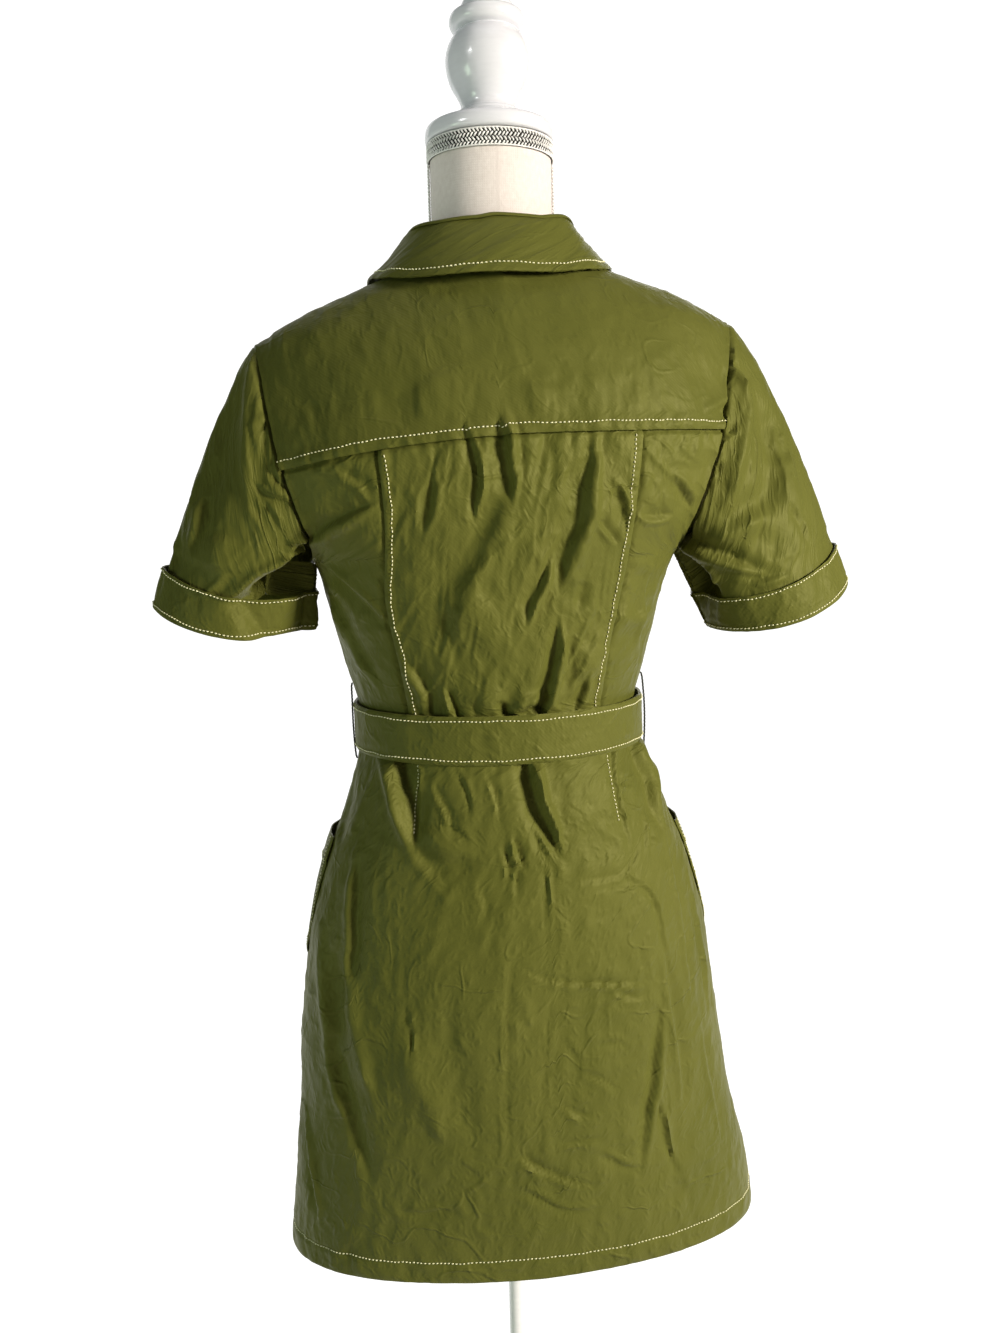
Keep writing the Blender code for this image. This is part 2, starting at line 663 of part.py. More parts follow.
def skirt_panel(name, side, girths, sign, finish):
    """One skirt panel from the waist seam to the hem, over a row of girth angles.

    A front's last column runs straight down at its lap, so its girths are worked out row by row.
    """
    share = np.concatenate([[0.0, 0.046], np.linspace(0.105, 1.0, 12)])[:, None]
    girths = np.asarray(girths)[None, :]
    level = WAIST + (hem_level(side, girths) - WAIST) * share
    if side < 0:
        column = np.arange(girths.shape[1]) - girths.shape[1]
        girths = np.where(column == -1, girth_at(-sign * FRONT_LAP, level), girths)
        girths = np.where(column == -2, girth_at(sign * LAP_COLUMN, level), girths)
    girths = np.broadcast_to(girths, level.shape)
    out = lap_lift(sign, girths, level) if side < 0 else 0.0
    points, normals = cloth(side, girths, level, out)
    return wall(name, pull_in(points), normals, finish)


def skirt(finish):
    half = math.pi / 2
    skirt_panel("skirt_back", 1, np.linspace(half, -half, 23), 0, finish)
    for sign, name in ((1, "skirt_front_left"), (-1, "skirt_front_right")):
        skirt_panel(name, -1, sign * (half - FRONT_COLUMN * np.arange(13)), sign, finish)


def pocket(name, sign, finish):
    """Patch pocket from the front round to just past the side seam. Its mouth stands off."""
    rows = 7
    share = np.linspace(0, 1, rows)[:, None]
    turns = math.pi / 2 - FRONT_COLUMN * np.arange(POCKET_COLUMNS, -1, -1)
    turns = np.append(turns, math.pi / 2 + POCKET_BEHIND)[None, :]
    across = (turns - turns[0, 0]) / (turns[0, -1] - turns[0, 0])
    level = POCKET_TOP - POCKET_TALL * share * (1 - POCKET_CORNER * (2 * across - 1) ** 4)
    stand_off = POCKET_STAND_OFF * np.cos(share * math.pi / 2) ** 2 * np.sin(across * math.pi) ** 0.7
    out = CLOTH + LIFT + stand_off
    past = turns > math.pi / 2 + 1e-6
    front_points, front_normals = cloth(-1, sign * turns, level, out)
    rear_points, rear_normals = cloth(1, sign * (math.pi - turns), level, out)
    points = np.where(past[..., None], rear_points, front_points)
    normals = np.where(past[..., None], rear_normals, front_normals)
    wall(name, points, normals, finish)


# ---------------------------------------------------------------- sleeves
def armhole_ring(sign):
    """Armhole points shared with the yoke, the back side panel and the front.

    The ring starts on the ridge, goes down behind, under the arm and up in front. Each point has
    its turn round the sleeve, 0 on top and half a turn under the arm.
    """
    behind = np.concatenate([yoke_arm_rows(sign)[::-1], back_arm_rows(sign)[::-1][1:]])
    before = np.concatenate([FRONT_ARM_ROWS, 2 * RIDGE - ROWS_OVER_SHOULDER[::-1][1:]])[1:-1]
    parts = []
    for side, heights in ((1, behind), (-1, before)):
        parts.append(cloth(side, sign * armhole_girth(heights), heights))
    points = np.concatenate([parts[0][0], parts[1][0]])
    normals = np.concatenate([parts[0][1], parts[1][1]])
    lengths = np.linalg.norm(np.roll(points, -1, axis=0) - points, axis=1)
    under = len(behind) - 1
    run = np.concatenate([[0.0], np.cumsum(lengths)[:-1]])
    turn = np.where(np.arange(len(points)) <= under, run / run[under],
                    1 + (run - run[under]) / (lengths.sum() - run[under]))
    return points, normals, turn * math.pi


def sleeve_points(sign, share):
    """Sleeve surface at shares of its length, 0 at the armhole and 1 at the cuff's lower edge.

    share has a row for each ring of points, and may have its own value for each point round it.
    """
    shape = SLEEVES["left" if sign > 0 else "right"]
    ring, ring_normals, turn = armhole_ring(sign)
    centre, across = np.array(shape["centre"]), np.array(shape["across"])
    depth = np.array([0.0, shape["depth"], -shape["drop"]])
    cuff = centre + across * np.cos(turn)[:, None] + depth * np.sin(turn)[:, None]
    start = ring + ring_normals * 0.0004
    t = np.broadcast_to(share, (len(share), len(turn)))[..., None]
    points = start * (1 - t) + cuff * t
    outward = unit(across) * np.maximum(np.cos(turn), 0.0)[:, None] + np.array([0, 0, 0.3])
    swell = shape["swell"] * np.sin(math.pi * t**0.6)
    around = np.clip(np.cos(turn), 0.0, 1.0)[:, None] ** 0.6
    points = points + outward * swell * around
    return points, grid_normals(points, wraps=True, flip=sign > 0)


def cuff_share(sign):
    """Share of each line down the sleeve that the cuff band covers, so that it is one width."""
    ends, _ = sleeve_points(sign, np.array([[0.0], [1.0]]))
    return CUFF_BAND / np.linalg.norm(ends[1] - ends[0], axis=-1)


def sleeve(sign, name, finish):
    """Short sleeve, open at both ends, and the turned-up cuff band round its lower end."""
    above = 1 - cuff_share(sign)
    upper = [0.004 + (above - 0.004) * t for t in np.linspace(0, 1, 7)]
    shares = np.array(upper + [(above + 1) / 2, np.ones_like(above)])
    points, normals = sleeve_points(sign, shares)
    wall(name, points, normals, finish, wraps=True)
    band = points[-3:] + normals[-3:] * (CLOTH + LIFT)
    band[-1] += unit(points[-1] - points[-2]) * 0.0008
    wall(name.replace("sleeve", "sleeve_cuff"), band, normals[-3:], finish, wraps=True)


# ---------------------------------------------------------------- collar
def neckline_ring():
    """Neck opening from the left front end round the back to the right one, with shares -1 to 1."""
    neck = float(girth_at(NECK_SIDE, RIDGE))
    left = [(-1, front_neck_girth(h), h) for h in np.linspace(NECK_EDGE_ROWS[-1][0], SHOULDER_SEAM, 4)]
    over = [(1, front_neck_girth(h), h) for h in ROWS_OVER_SHOULDER[::-1][1:]]
    behind = [(1, g, neckline_height(g)) for g in np.linspace(neck, -neck, YOKE_COLUMNS_NECK + 1)[1:-1]]
    half = left + over
    right = [(side, -girth, h) for side, girth, h in half[::-1]]
    points, normals = [], []
    for side, girth, h in half + behind + right:
        p, n = cloth(side, girth, h)
        points.append(p)
        normals.append(n)
    points, normals = np.array(points), np.array(normals)
    lengths = np.linalg.norm(np.diff(points, axis=0), axis=1)
    run = np.concatenate([[0.0], np.cumsum(lengths)])
    return points, normals, 1 - 2 * run / run[-1]


def collar_line(turn, first_column):
    """Points of the fold line (first_column 1) or of the leaf's edge (4)."""
    half = np.abs(turn)
    x, y, z = (read(COLLAR_ROWS, half, first_column + k) for k in range(3))
    x = x * np.sign(turn) + COLLAR_SHIFT * (1 - half**2)
    z = z - LEAN * x
    return np.stack([x, y, z], axis=-1)


def collar(stand_finish, leaf_finish):
    """Stand up from the neck opening to the fold, and the leaf that falls from the fold."""
    foot, foot_normals, turn = neckline_ring()
    fold = collar_line(turn, 1)
    fold_low = fold - np.array([0.0, 0.0, 0.0030])
    start = foot + foot_normals * 0.0006
    start = start + unit(fold_low - start) * 0.0004
    stand = np.stack([start * (1 - t) + fold_low * t for t in (0.0, 0.5, 1.0)])
    normals = grid_normals(stand, flip=False)
    wall("collar_stand", stand, normals, stand_finish)
    edge = collar_line(turn, 4)
    rows = []
    for share, rise in ((0.0, 0.0), (0.10, 0.0018), (0.36, 0.0022), (0.68, 0.0012), (1.0, 0.0)):
        row = fold * (1 - share) + edge * share
        sag = COLLAR_SAG * math.sin(math.pi * share) * ease((np.abs(turn) - 0.25) / 0.3)
        row[:, 2] += rise + 0.0012 - sag * ease((1.0 - np.abs(turn)) / 0.2)
        rows.append(row)
    leaf = np.stack(rows)
    wall("collar_leaf", leaf, grid_normals(leaf, flip=True), leaf_finish)


# ---------------------------------------------------------------- belt
def belt_ring(angles, levels, out=0.0):
    """Belt points at turns round the waist, 0 at the centre front and plus to the wearer's left."""
    angles = np.asarray(angles)
    level = np.asarray(levels)[:, None]
    depth = np.where(np.cos(angles) > 0, BELT_DEPTH_FRONT, BELT_DEPTH_BACK) + out
    x = (BELT_HALF_WIDTH + out) * np.sin(angles) + BELT_SHIFT + 0.0 * level
    y = -depth * np.cos(angles) + 0.0 * level
    return np.stack([x, y, level + 0.0 * angles], axis=-1)


def belt(finish):
    """Belt round the waist, closed behind the buckle, and its free tail on the wearer's left."""
    levels = np.linspace(BELT_LOW, BELT_HIGH, 3)
    gap = math.radians(0.6)
    ring = belt_ring(np.linspace(gap, 2 * math.pi - gap, 49), levels)
    wall("belt", ring, grid_normals(ring), finish, thick=BELT_WALL)
    first = math.radians(10.6)
    tail_angles = first + np.linspace(0, BELT_TAIL_REACH / BELT_DEPTH_FRONT, 9)
    tail_levels = (BELT_LOW + 0.0008, BELT_HIGH - 0.0008)
    tail = belt_ring(tail_angles, tail_levels, BELT_WALL + 0.0007)
    wall("belt_tail", tail, grid_normals(tail), finish, thick=BELT_WALL)


def buckle(finish):
    """Plain rectangular frame in front of the belt, with a bar down its middle."""
    half_wide = BUCKLE_WIDTH / 2
    half_tall = (BELT_HIGH - BELT_LOW) / 2 + 0.006
    middle = (BELT_LOW + BELT_HIGH) / 2
    face = -(BELT_DEPTH_FRONT + BUCKLE_WALL + 0.0005)
    bar = BUCKLE_BAR
    columns = [-half_wide, -half_wide + bar, -bar / 2, bar / 2, half_wide - bar, half_wide]
    rows = [-half_tall, -half_tall + bar, half_tall - bar, half_tall]
    bow = BELT_DEPTH_FRONT / BELT_HALF_WIDTH**2 / 2
    points = np.array([[(x + BELT_SHIFT, face + bow * x * x, z + middle) for x in columns]
                       for z in rows])
    normals = np.zeros_like(points)
    normals[..., 1] = -1.0

    def keep(i, j):
        return i != 1 or j % 2 == 0

    wall("belt_buckle", points, normals, finish, thick=BUCKLE_WALL, keep=keep)


def tube(name, path, radius, finish, sides=6):
    """Closed tube along a path that lies in a plane across the body."""
    path = np.asarray(path)
    along = unit(np.gradient(path, axis=0))
    level = np.array([0.0, 1.0, 0.0])
    second = unit(np.cross(along, level))
    bm = bmesh.new()
    rings = []
    for p, q in zip(path, second):
        ring = []
        for k in range(sides):
            angle = 2 * math.pi * k / sides
            ring.append(bm.verts.new(p + radius * (math.cos(angle) * level + math.sin(angle) * q)))
        rings.append(ring)
    for low, high in zip(rings, rings[1:]):
        for k in range(sides):
            n = (k + 1) % sides
            bm.faces.new((low[k], low[n], high[n], high[k]))
    bm.faces.new(rings[0][::-1])
    bm.faces.new(rings[-1])
    return add_object(name, bm, finish)


def belt_loop(name, sign, finish):
    """Thread chain at a side seam: out over the belt's edge, down past it and back in."""
    high, low = BELT_HIGH + 0.016, BELT_LOW - 0.010
    path = []
    for share in np.linspace(0, 1, 11):
        level = high + (low - high) * share
        skin = float(half_width(level)) + LOOP_RADIUS + LOOP_SEAT
        reach = skin + LOOP_REACH[sign] * math.sin(math.pi * share) ** 0.7
        path.append((sign * reach + float(read(BODY_ROWS, level, 4)), 0.006, level))
    tube(name, path, LOOP_RADIUS, finish)


def button(name, level, finish):
    """Round button on the right front's lap."""
    height = float(height_at_level(0.0, level))
    ends = girth_at([-LAP_COLUMN, FRONT_LAP], height)
    points, normals = cloth(-1, ends, height, LAP_LIFT)
    share = LAP_COLUMN / (LAP_COLUMN + FRONT_LAP)
    normal = unit(normals[0] + normals[1])
    point = points[0] * (1 - share) + points[1] * share + normal * 0.0005
    side = unit(np.cross((0.0, 0.0, 1.0), normal))
    up = np.cross(normal, side)
    bm = bmesh.new()
    rings = []
    for share, out in ((0.86, 0.0), (1.0, 0.0008), (1.0, BUTTON_THICK - 0.0006), (0.84, BUTTON_THICK)):
        ring = []
        for k in range(16):
            angle = 2 * math.pi * k / 16
            flat = side * math.cos(angle) + up * math.sin(angle)
            ring.append(bm.verts.new(point + flat * BUTTON_RADIUS * share + normal * out))
        rings.append(ring)
    for low, high in zip(rings, rings[1:]):
        for k in range(16):
            n = (k + 1) % 16
            bm.faces.new((low[k], low[n], high[n], high[k]))
    bm.faces.new(rings[0][::-1])
    bm.faces.new(rings[-1])
    return add_object(name, bm, finish)


# ---------------------------------------------------------------- dress form
def depth_limit(x, z):
    """Half depths of the dress at a level, in front and behind, at distances from the centre."""
    level = np.minimum(z, ARCH_FOOT)
    half = half_width(level)
    inside = np.abs(x) < half
    oval = np.sqrt(np.clip(1 - (x / half) ** 2, 0, 1))
    ridge = read(RIDGE_ROWS, np.abs(x), 1)
    rise = np.clip((z - ARCH_FOOT) / (ridge - ARCH_FOOT), 0, 1)
    arch = np.sqrt(1 - rise**2)
    front = read(BODY_ROWS, level, 2) * oval * arch**FRONT_ARCH_POWER
    back = read(BODY_ROWS, level, 3) * oval * arch
    return np.where(inside, front, 0.0), np.where(inside, back, 0.0)


def form_radius(z, angle):
    """Radius of the linen at a level and a direction: inside the dress, and never under the neck."""
    low, high = 0.0, 0.26
    sin, cos = math.sin(angle), math.cos(angle)
    for _ in range(28):
        r = (low + high) / 2
        front, back = depth_limit(r * sin, z)
        limit = back if cos > 0 else front
        if abs(r * cos) < limit:
            low = r
        else:
            high = r
    snug = SHOULDER_SNUG * ease((z - 1.25) / 0.03)
    inset = FORM_INSET - snug + NECK_CLEARANCE * ease((z - 1.325) / 0.02)
    radius = max(low - float(inset), 0.0)
    if z > UNDERARM:
        folded = float(height_at_level(0.16, min(z, 1.30)))
        plate = float(read(ARMHOLE_ROWS, folded, 1)) - ARM_PLATE_INSET
        radius = min(radius, plate / max(abs(sin), 1e-6))
    if z < HIP_ROWS[-1][0]:
        half = read(HIP_ROWS, z, 1)
        depth = read(HIP_ROWS, z, 3 if cos > 0 else 2)
        radius = min(radius, 1 / math.sqrt((sin / half) ** 2 + (cos / depth) ** 2))
    flare = math.exp(-max(z - NECK_ROOT, 0.0) / 0.010)
    wide, deep = NECK_HALF_WIDTH + 0.018 * flare, NECK_HALF_DEPTH + 0.003 * flare
    neck = 1 / math.hypot(sin / wide, cos / deep)
    if z > NECK_ROOT:
        radius = max(radius, neck)
    return radius


FORM_LEVELS = (0.700, 0.706, 0.730, 0.770, 0.820, 0.870, 0.905, 0.940, 0.965, 1.000, 1.030, 1.060,
               1.094, 1.120, 1.150, 1.180, 1.210, 1.240, 1.265, 1.285, 1.298, 1.310, 1.320, 1.330,
               1.338, 1.346, 1.354, 1.366, 1.400, NECK_TOP)


def form_torso(finish):
    """Linen-covered torso with its neck, closed below the hips and under the neck plate."""
    segments = 40
    bm = bmesh.new()
    rings = []
    for z in FORM_LEVELS:
        ring = []
        shift = float(read(BODY_ROWS, min(z, ARCH_FOOT), 4))
        shift = shift * float(ease((1.25 - z) / 0.1)) if z > 1.15 else shift
        shift = shift * float(ease((z - 0.86) / 0.08))
        for k in range(segments):
            angle = 2 * math.pi * k / segments
            radius = form_radius(z, angle)
            x = radius * math.sin(angle) + shift
            y = radius * math.cos(angle)
            lean = LEAN * x * float(ease((z - 1.0) / 0.25)) * float(ease((1.42 - z) / 0.07))
            ring.append(bm.verts.new((x, y, z - lean)))
        rings.append(ring)
    for low, high in zip(rings, rings[1:]):
        for k in range(segments):
            n = (k + 1) % segments
            bm.faces.new((low[k], low[n], high[n]))
            bm.faces.new((low[k], high[n], high[k]))
    bm.faces.new(rings[0][::-1])
    bm.faces.new(rings[-1])
    return add_object("form_torso", bm, finish)


def ring_band(name, low, high, inner, outer, finish, segments=32):
    """Plain flat band round the neck."""
    angles = np.linspace(0, 2 * math.pi, segments, endpoint=False)
    level = np.array([low, high])[:, None]
    x = outer * np.sin(angles) + 0.0 * level
    y = outer * np.cos(angles) * NECK_HALF_DEPTH / NECK_HALF_WIDTH + 0.0 * level
    points = np.stack([x, y, level + 0.0 * angles], axis=-1)
    normals = unit(points * np.array([1.0, 1.0, 0.0]))
    return wall(name, points, normals, finish, thick=outer - inner, wraps=True)


def neck_braid(name, sign, finish):
    """Flat braid down the side of the neck."""
    levels = np.array([1.385, 1.410, 1.4355])[:, None]
    angles = np.radians([-4.5, 0.0, 4.5]) + math.pi / 2
    reach_x, reach_y = NECK_HALF_WIDTH + 0.0021, NECK_HALF_DEPTH + 0.0021
    x = sign * reach_x * np.sin(angles) + 0.0 * levels
    y = reach_y * np.cos(angles) + 0.0 * levels
    points = np.stack([x, y, levels + 0.0 * angles], axis=-1)
    normals = unit(points * np.array([1.0, 1.0, 0.0]))
    return wall(name, points, normals, finish, thick=0.0015)


def stand(linen, paint, braid):
    """The dress form: torso, trims, turned neck plate and finial, pole and weighted base."""
    form_torso(linen)
    gap = 0.0003
    ring_band("neck_trim", 1.4360, NECK_TOP, NECK_HALF_WIDTH + 0.0004, NECK_HALF_WIDTH + 0.0026, braid)
    neck_braid("neck_braid_left", 1, braid)
    neck_braid("neck_braid_right", -1, braid)
    plate = ((NECK_TOP + gap, 0.0500), (NECK_TOP + 0.0015, 0.0515), (1.4605, 0.0515), (1.4625, 0.0495))
    turned("neck_plate", plate, paint, 36)
    turned("finial", FINIAL_ROWS, paint, 28)
    turned("pole", ((BASE_THICK + 0.0125, POLE_RADIUS), (FORM_BOTTOM - gap, POLE_RADIUS)), paint, 20)
    turned("base_hub", ((BASE_THICK + gap, 0.026), (BASE_THICK + 0.008, 0.025),
                        (BASE_THICK + 0.0122, 0.014)), paint, 28)
    turned("base", ((0.0, BASE_RADIUS - 0.003), (0.003, BASE_RADIUS), (BASE_THICK - 0.006, BASE_RADIUS),
                    (BASE_THICK - 0.002, BASE_RADIUS - 0.004), (BASE_THICK, BASE_RADIUS - 0.012)),
           paint, 48)


def main():
    for old in list(bpy.data.objects):
        bpy.data.objects.remove(old)
    olive = material("olive_cotton_sateen", OLIVE, 0.55)
    deep = material("olive_cotton_sateen_inside", OLIVE_DEEP, 0.60)
    horn = material("button_resin", HORN, 0.35)
    linen = material("form_linen", LINEN, 0.85)
    paint = material("white_painted_wood", WHITE_PAINT, 0.30)
    braid = material("woven_braid", BRAID_GREY, 0.80)
    yoke(olive)
    back_panels(olive)
    front_panels(olive)
    skirt(olive)
    pocket("hip_pocket_left", 1, olive)
    pocket("hip_pocket_right", -1, olive)
    sleeve(1, "sleeve_left", olive)
    sleeve(-1, "sleeve_right", olive)
    collar(deep, olive)
    belt(olive)
    buckle(horn)
    belt_loop("belt_loop_left", 1, deep)
    belt_loop("belt_loop_right", -1, deep)
    for number, level in enumerate(BUTTON_HEIGHTS, start=1):
        button(f"button_{number}", level, horn)
    stand(linen, paint, braid)


main()
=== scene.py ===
# %% [markdown]
# # A belted shirt dress on a dress form
# This script dresses the plain solids of a garment in real cloth. Each sewn piece of the dress becomes a
# thin shell with its own creases, the topstitching becomes thread, and the stand becomes linen, braid and
# white paint. Everything is in metres, and the wearer's left is +X. The dress faces -Y.

# %% Load the fixed frame
import math

import bpy
import numpy as np
from mathutils import Matrix, Vector


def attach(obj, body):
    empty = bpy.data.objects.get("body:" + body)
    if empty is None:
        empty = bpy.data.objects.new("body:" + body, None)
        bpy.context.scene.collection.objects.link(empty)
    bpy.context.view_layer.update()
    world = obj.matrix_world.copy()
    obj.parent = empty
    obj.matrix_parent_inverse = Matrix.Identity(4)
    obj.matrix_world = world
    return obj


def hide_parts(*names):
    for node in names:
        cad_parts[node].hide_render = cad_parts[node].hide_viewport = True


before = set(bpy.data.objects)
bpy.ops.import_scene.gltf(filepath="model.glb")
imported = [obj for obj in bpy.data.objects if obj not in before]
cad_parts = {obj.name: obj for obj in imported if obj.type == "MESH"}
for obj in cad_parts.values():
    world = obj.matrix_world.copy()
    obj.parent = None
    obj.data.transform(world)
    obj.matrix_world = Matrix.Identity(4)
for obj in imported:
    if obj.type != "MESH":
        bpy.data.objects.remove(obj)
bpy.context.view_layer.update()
print("frame nodes:", len(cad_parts))

# %% [markdown]
# ## The camera
# The dress is seen from behind, a little from the wearer's left, by a camera at shoulder height that
# looks slightly down. A camera's axes are right, up and backwards, so its matrix is made of those three.

# %% Camera
CAMERA_SPOT = (0.0817, 0.9113, 1.1703)
CAMERA_TURN = math.radians(5.0)     # round the object, from straight behind
CAMERA_DOWN = math.radians(8.8)
CAMERA_ROLL = math.radians(1.37)
CAMERA_LENS = 29.14                 # millimetres, on a sensor 36 mm along the picture's long side

ahead = Vector((-math.sin(CAMERA_TURN) * math.cos(CAMERA_DOWN),
                -math.cos(CAMERA_TURN) * math.cos(CAMERA_DOWN), -math.sin(CAMERA_DOWN)))
level_right = Vector((-math.cos(CAMERA_TURN), math.sin(CAMERA_TURN), 0.0))
level_up = level_right.cross(ahead)
right = level_right * math.cos(CAMERA_ROLL) - level_up * math.sin(CAMERA_ROLL)
up = level_right * math.sin(CAMERA_ROLL) + level_up * math.cos(CAMERA_ROLL)
camera_data = bpy.data.cameras.new("camera")
camera_data.lens = CAMERA_LENS
camera_data.sensor_width = 36.0
camera = bpy.data.objects.new("camera", camera_data)
camera.matrix_world = Matrix((
    (right.x, up.x, -ahead.x, CAMERA_SPOT[0]),
    (right.y, up.y, -ahead.y, CAMERA_SPOT[1]),
    (right.z, up.z, -ahead.z, CAMERA_SPOT[2]),
    (0.0, 0.0, 0.0, 1.0),
))
bpy.context.scene.collection.objects.link(camera)
bpy.context.scene.camera = camera
print("camera at", CAMERA_SPOT)

# %% [markdown]
# ## Colour and shader helpers
# Screen colours are sRGB hex and a renderer needs them linear, so one function converts them. Another adds
# a shader node: it sets the node's own settings, and each input is a plain value or another node's
# output. Short functions on top of it make a noise, threads, a bump and a colour between two tones.

# %% Colour and node helpers
def linear(hex_colour):
    """Linear RGBA of an sRGB hex colour."""
    channels = [int(hex_colour[k:k + 2], 16) / 255 for k in (1, 3, 5)]
    return [c / 12.92 if c <= 0.04045 else ((c + 0.055) / 1.055) ** 2.4 for c in channels] + [1.0]


def add_node(material, kind, output, inputs, **settings):
    """Add a shader node and return one of its outputs."""
    made = material.node_tree.nodes.new("ShaderNode" + kind)
    for name, value in settings.items():
        setattr(made, name, value)
    for name, value in inputs.items():
        if isinstance(value, bpy.types.NodeSocket):
            material.node_tree.links.new(value, made.inputs[name])
        else:
            made.inputs[name].default_value = value
    return made.outputs[output]


def new_material(name, **sockets):
    """Material with a Principled shader, and the values of its sockets."""
    material = bpy.data.materials.new(name)
    material.use_nodes = True
    shader = material.node_tree.nodes["Principled BSDF"]
    for socket, value in sockets.items():
        shader.inputs[socket.replace("_", " ")].default_value = value
    return material, shader


def link(material, output, shader, socket):
    material.node_tree.links.new(output, shader.inputs[socket])


def where(material, kind="Object", scale=None):
    """Texture coordinates of a kind, scaled if a scale is given."""
    place = add_node(material, "TexCoord", kind, {})
    return add_node(material, "Mapping", "Vector", {"Vector": place, "Scale": scale}) if scale else place


def noise(material, vector, scale=1.0, detail=2.0, rough=0.5, bent=0.0, **settings):
    inputs = {"Vector": vector, "Scale": scale, "Detail": detail, "Roughness": rough, "Distortion": bent}
    return add_node(material, "TexNoise", "Fac", inputs, **settings)


def remap(material, value, low, high, to_low=0.0, to_high=1.0, **settings):
    inputs = {"Value": value, "From Min": low, "From Max": high, "To Min": to_low, "To Max": to_high}
    return add_node(material, "MapRange", "Result", inputs, **settings)


def calculate(material, operation, a, b=0.0):
    return add_node(material, "Math", 0, {0: a, 1: b}, operation=operation)


def threads(material, vector, bent, direction):
    """Waves one unit apart, for the threads of a weave."""
    inputs = {"Vector": vector, "Scale": 1 / math.tau, "Distortion": bent, "Detail": 1.0}
    return add_node(material, "TexWave", "Fac", inputs, bands_direction=direction)


def bump(material, height, strength, distance, under=None):
    """Normals bent by a height. distance is in metres, and under is a bump that this one lies on."""
    inputs = {"Height": height, "Strength": strength, "Distance": distance}
    if under:
        inputs["Normal"] = under
    return add_node(material, "Bump", "Normal", inputs)


def two_tone(material, shader, share, tone, other_tone):
    """Base colour that runs from one hex tone to another as share runs from 0 to 1."""
    tones = {0: share, 6: linear(tone), 7: linear(other_tone)}
    link(material, add_node(material, "Mix", 2, tones, data_type="RGBA"), shader, "Base Color")


# %% [markdown]
# ## Olive cotton sateen
# The dress is a stretch cotton in a sateen weave: most warp threads float on the face, so it is smooth
# with a soft satin shine, and the fibre ends give a faint sheen. It was garment-washed, so it is full of
# fine crinkles: small flat facets with creased edges. Its threads are about 0.25 mm apart, too fine to
# show, so the weave is drawn at 0.8 mm, and uneven threads (slubs) 3 mm wide run down the cloth. Wear has
# put in thin creases that wander over it and come and go. The yoke and the collar keep more of the iron's
# flatness, so they have a pressed version, a shade deeper. The patterns follow each piece's own grain,
# from coordinates that are metres of flat cloth.

# %% Sateen material
SLUB_WIDE, SLUB_LONG = 0.003, 0.011
FACET_WIDE, FACET_LONG = 0.017, 0.024
CRINKLE_WIDE, CRINKLE_LONG = 0.0052, 0.0075
FADE_WIDE, FADE_LONG = 0.11, 0.16
WEAVE_PITCH = 0.0008
# wandering creases: scale across and along the cloth, share of the noise that a crease takes, height
WANDERING = ((0.085, 0.046, 0.022, 0.00066), (0.038, 0.052, 0.036, 0.00044))


def sateen(name, shade, shade_deep, roughness, creased=1.0):
    """Sateen cloth, less or more creased. Returns the material."""
    material, shader = new_material(
        name, Roughness=roughness, IOR=1.5, Sheen_Weight=0.1, Sheen_Roughness=0.35,
        Sheen_Tint=linear("#C9C77E"), Specular_IOR_Level=0.24, Specular_Tint=linear("#DAD68C"))

    def stretched(wide, long):
        return where(material, "UV", (1 / wide, 1 / long, 1.0))

    def wandering(wide, long, sharp):
        """Thin creases along the lines where a smooth noise passes its middle, in patches."""
        level = noise(material, stretched(wide, long), detail=1.0, rough=0.35, bent=0.15)
        away = calculate(material, "ABSOLUTE", calculate(material, "SUBTRACT", level, 0.5))
        line = remap(material, away, 0.0, sharp, 1.0, 0.0, interpolation_type="SMOOTHSTEP")
        there = remap(material, noise(material, stretched(1.3 * long, 1.1 * wide)), 0.45, 0.62)
        return calculate(material, "MULTIPLY", line, there)

    ridged = {"noise_type": "RIDGED_MULTIFRACTAL"}
    fade = noise(material, stretched(FADE_WIDE, FADE_LONG))
    slub = noise(material, stretched(SLUB_WIDE, SLUB_LONG), detail=3.0, rough=0.6)
    facets = noise(material, stretched(FACET_WIDE, FACET_LONG), **ridged)
    crinkle = noise(material, stretched(CRINKLE_WIDE, CRINKLE_LONG), detail=3.0, rough=0.6, **ridged)
    weave = threads(material, stretched(WEAVE_PITCH, WEAVE_PITCH), 1.5, "DIAGONAL")
    two_tone(material, shader, remap(material, fade, 0.3, 0.7), shade_deep, shade)
    gloss = remap(material, slub, 0.3, 0.7, roughness + 0.05, roughness - 0.05)
    link(material, gloss, shader, "Roughness")
    bumps = bump(material, facets, 0.9, 0.0024 * creased)
    for wide, long, sharp, tall in WANDERING:
        bumps = bump(material, wandering(wide, long, sharp), 1.0, tall * creased, bumps)
    bumps = bump(material, crinkle, 0.8, 0.001 * creased, bumps)
    bumps = bump(material, weave, 0.3, 0.0001, bump(material, slub, 0.2, 0.0003, bumps))
    link(material, bumps, shader, "Normal")
    return material


olive_sateen = sateen("olive_cotton_sateen_face", "#5E5F2A", "#555724", 0.53)
pressed_sateen = sateen("pressed_olive_cotton_sateen", "#5A5B28", "#535523", 0.53, 0.6)
print("made", olive_sateen.name, "and", pressed_sateen.name)
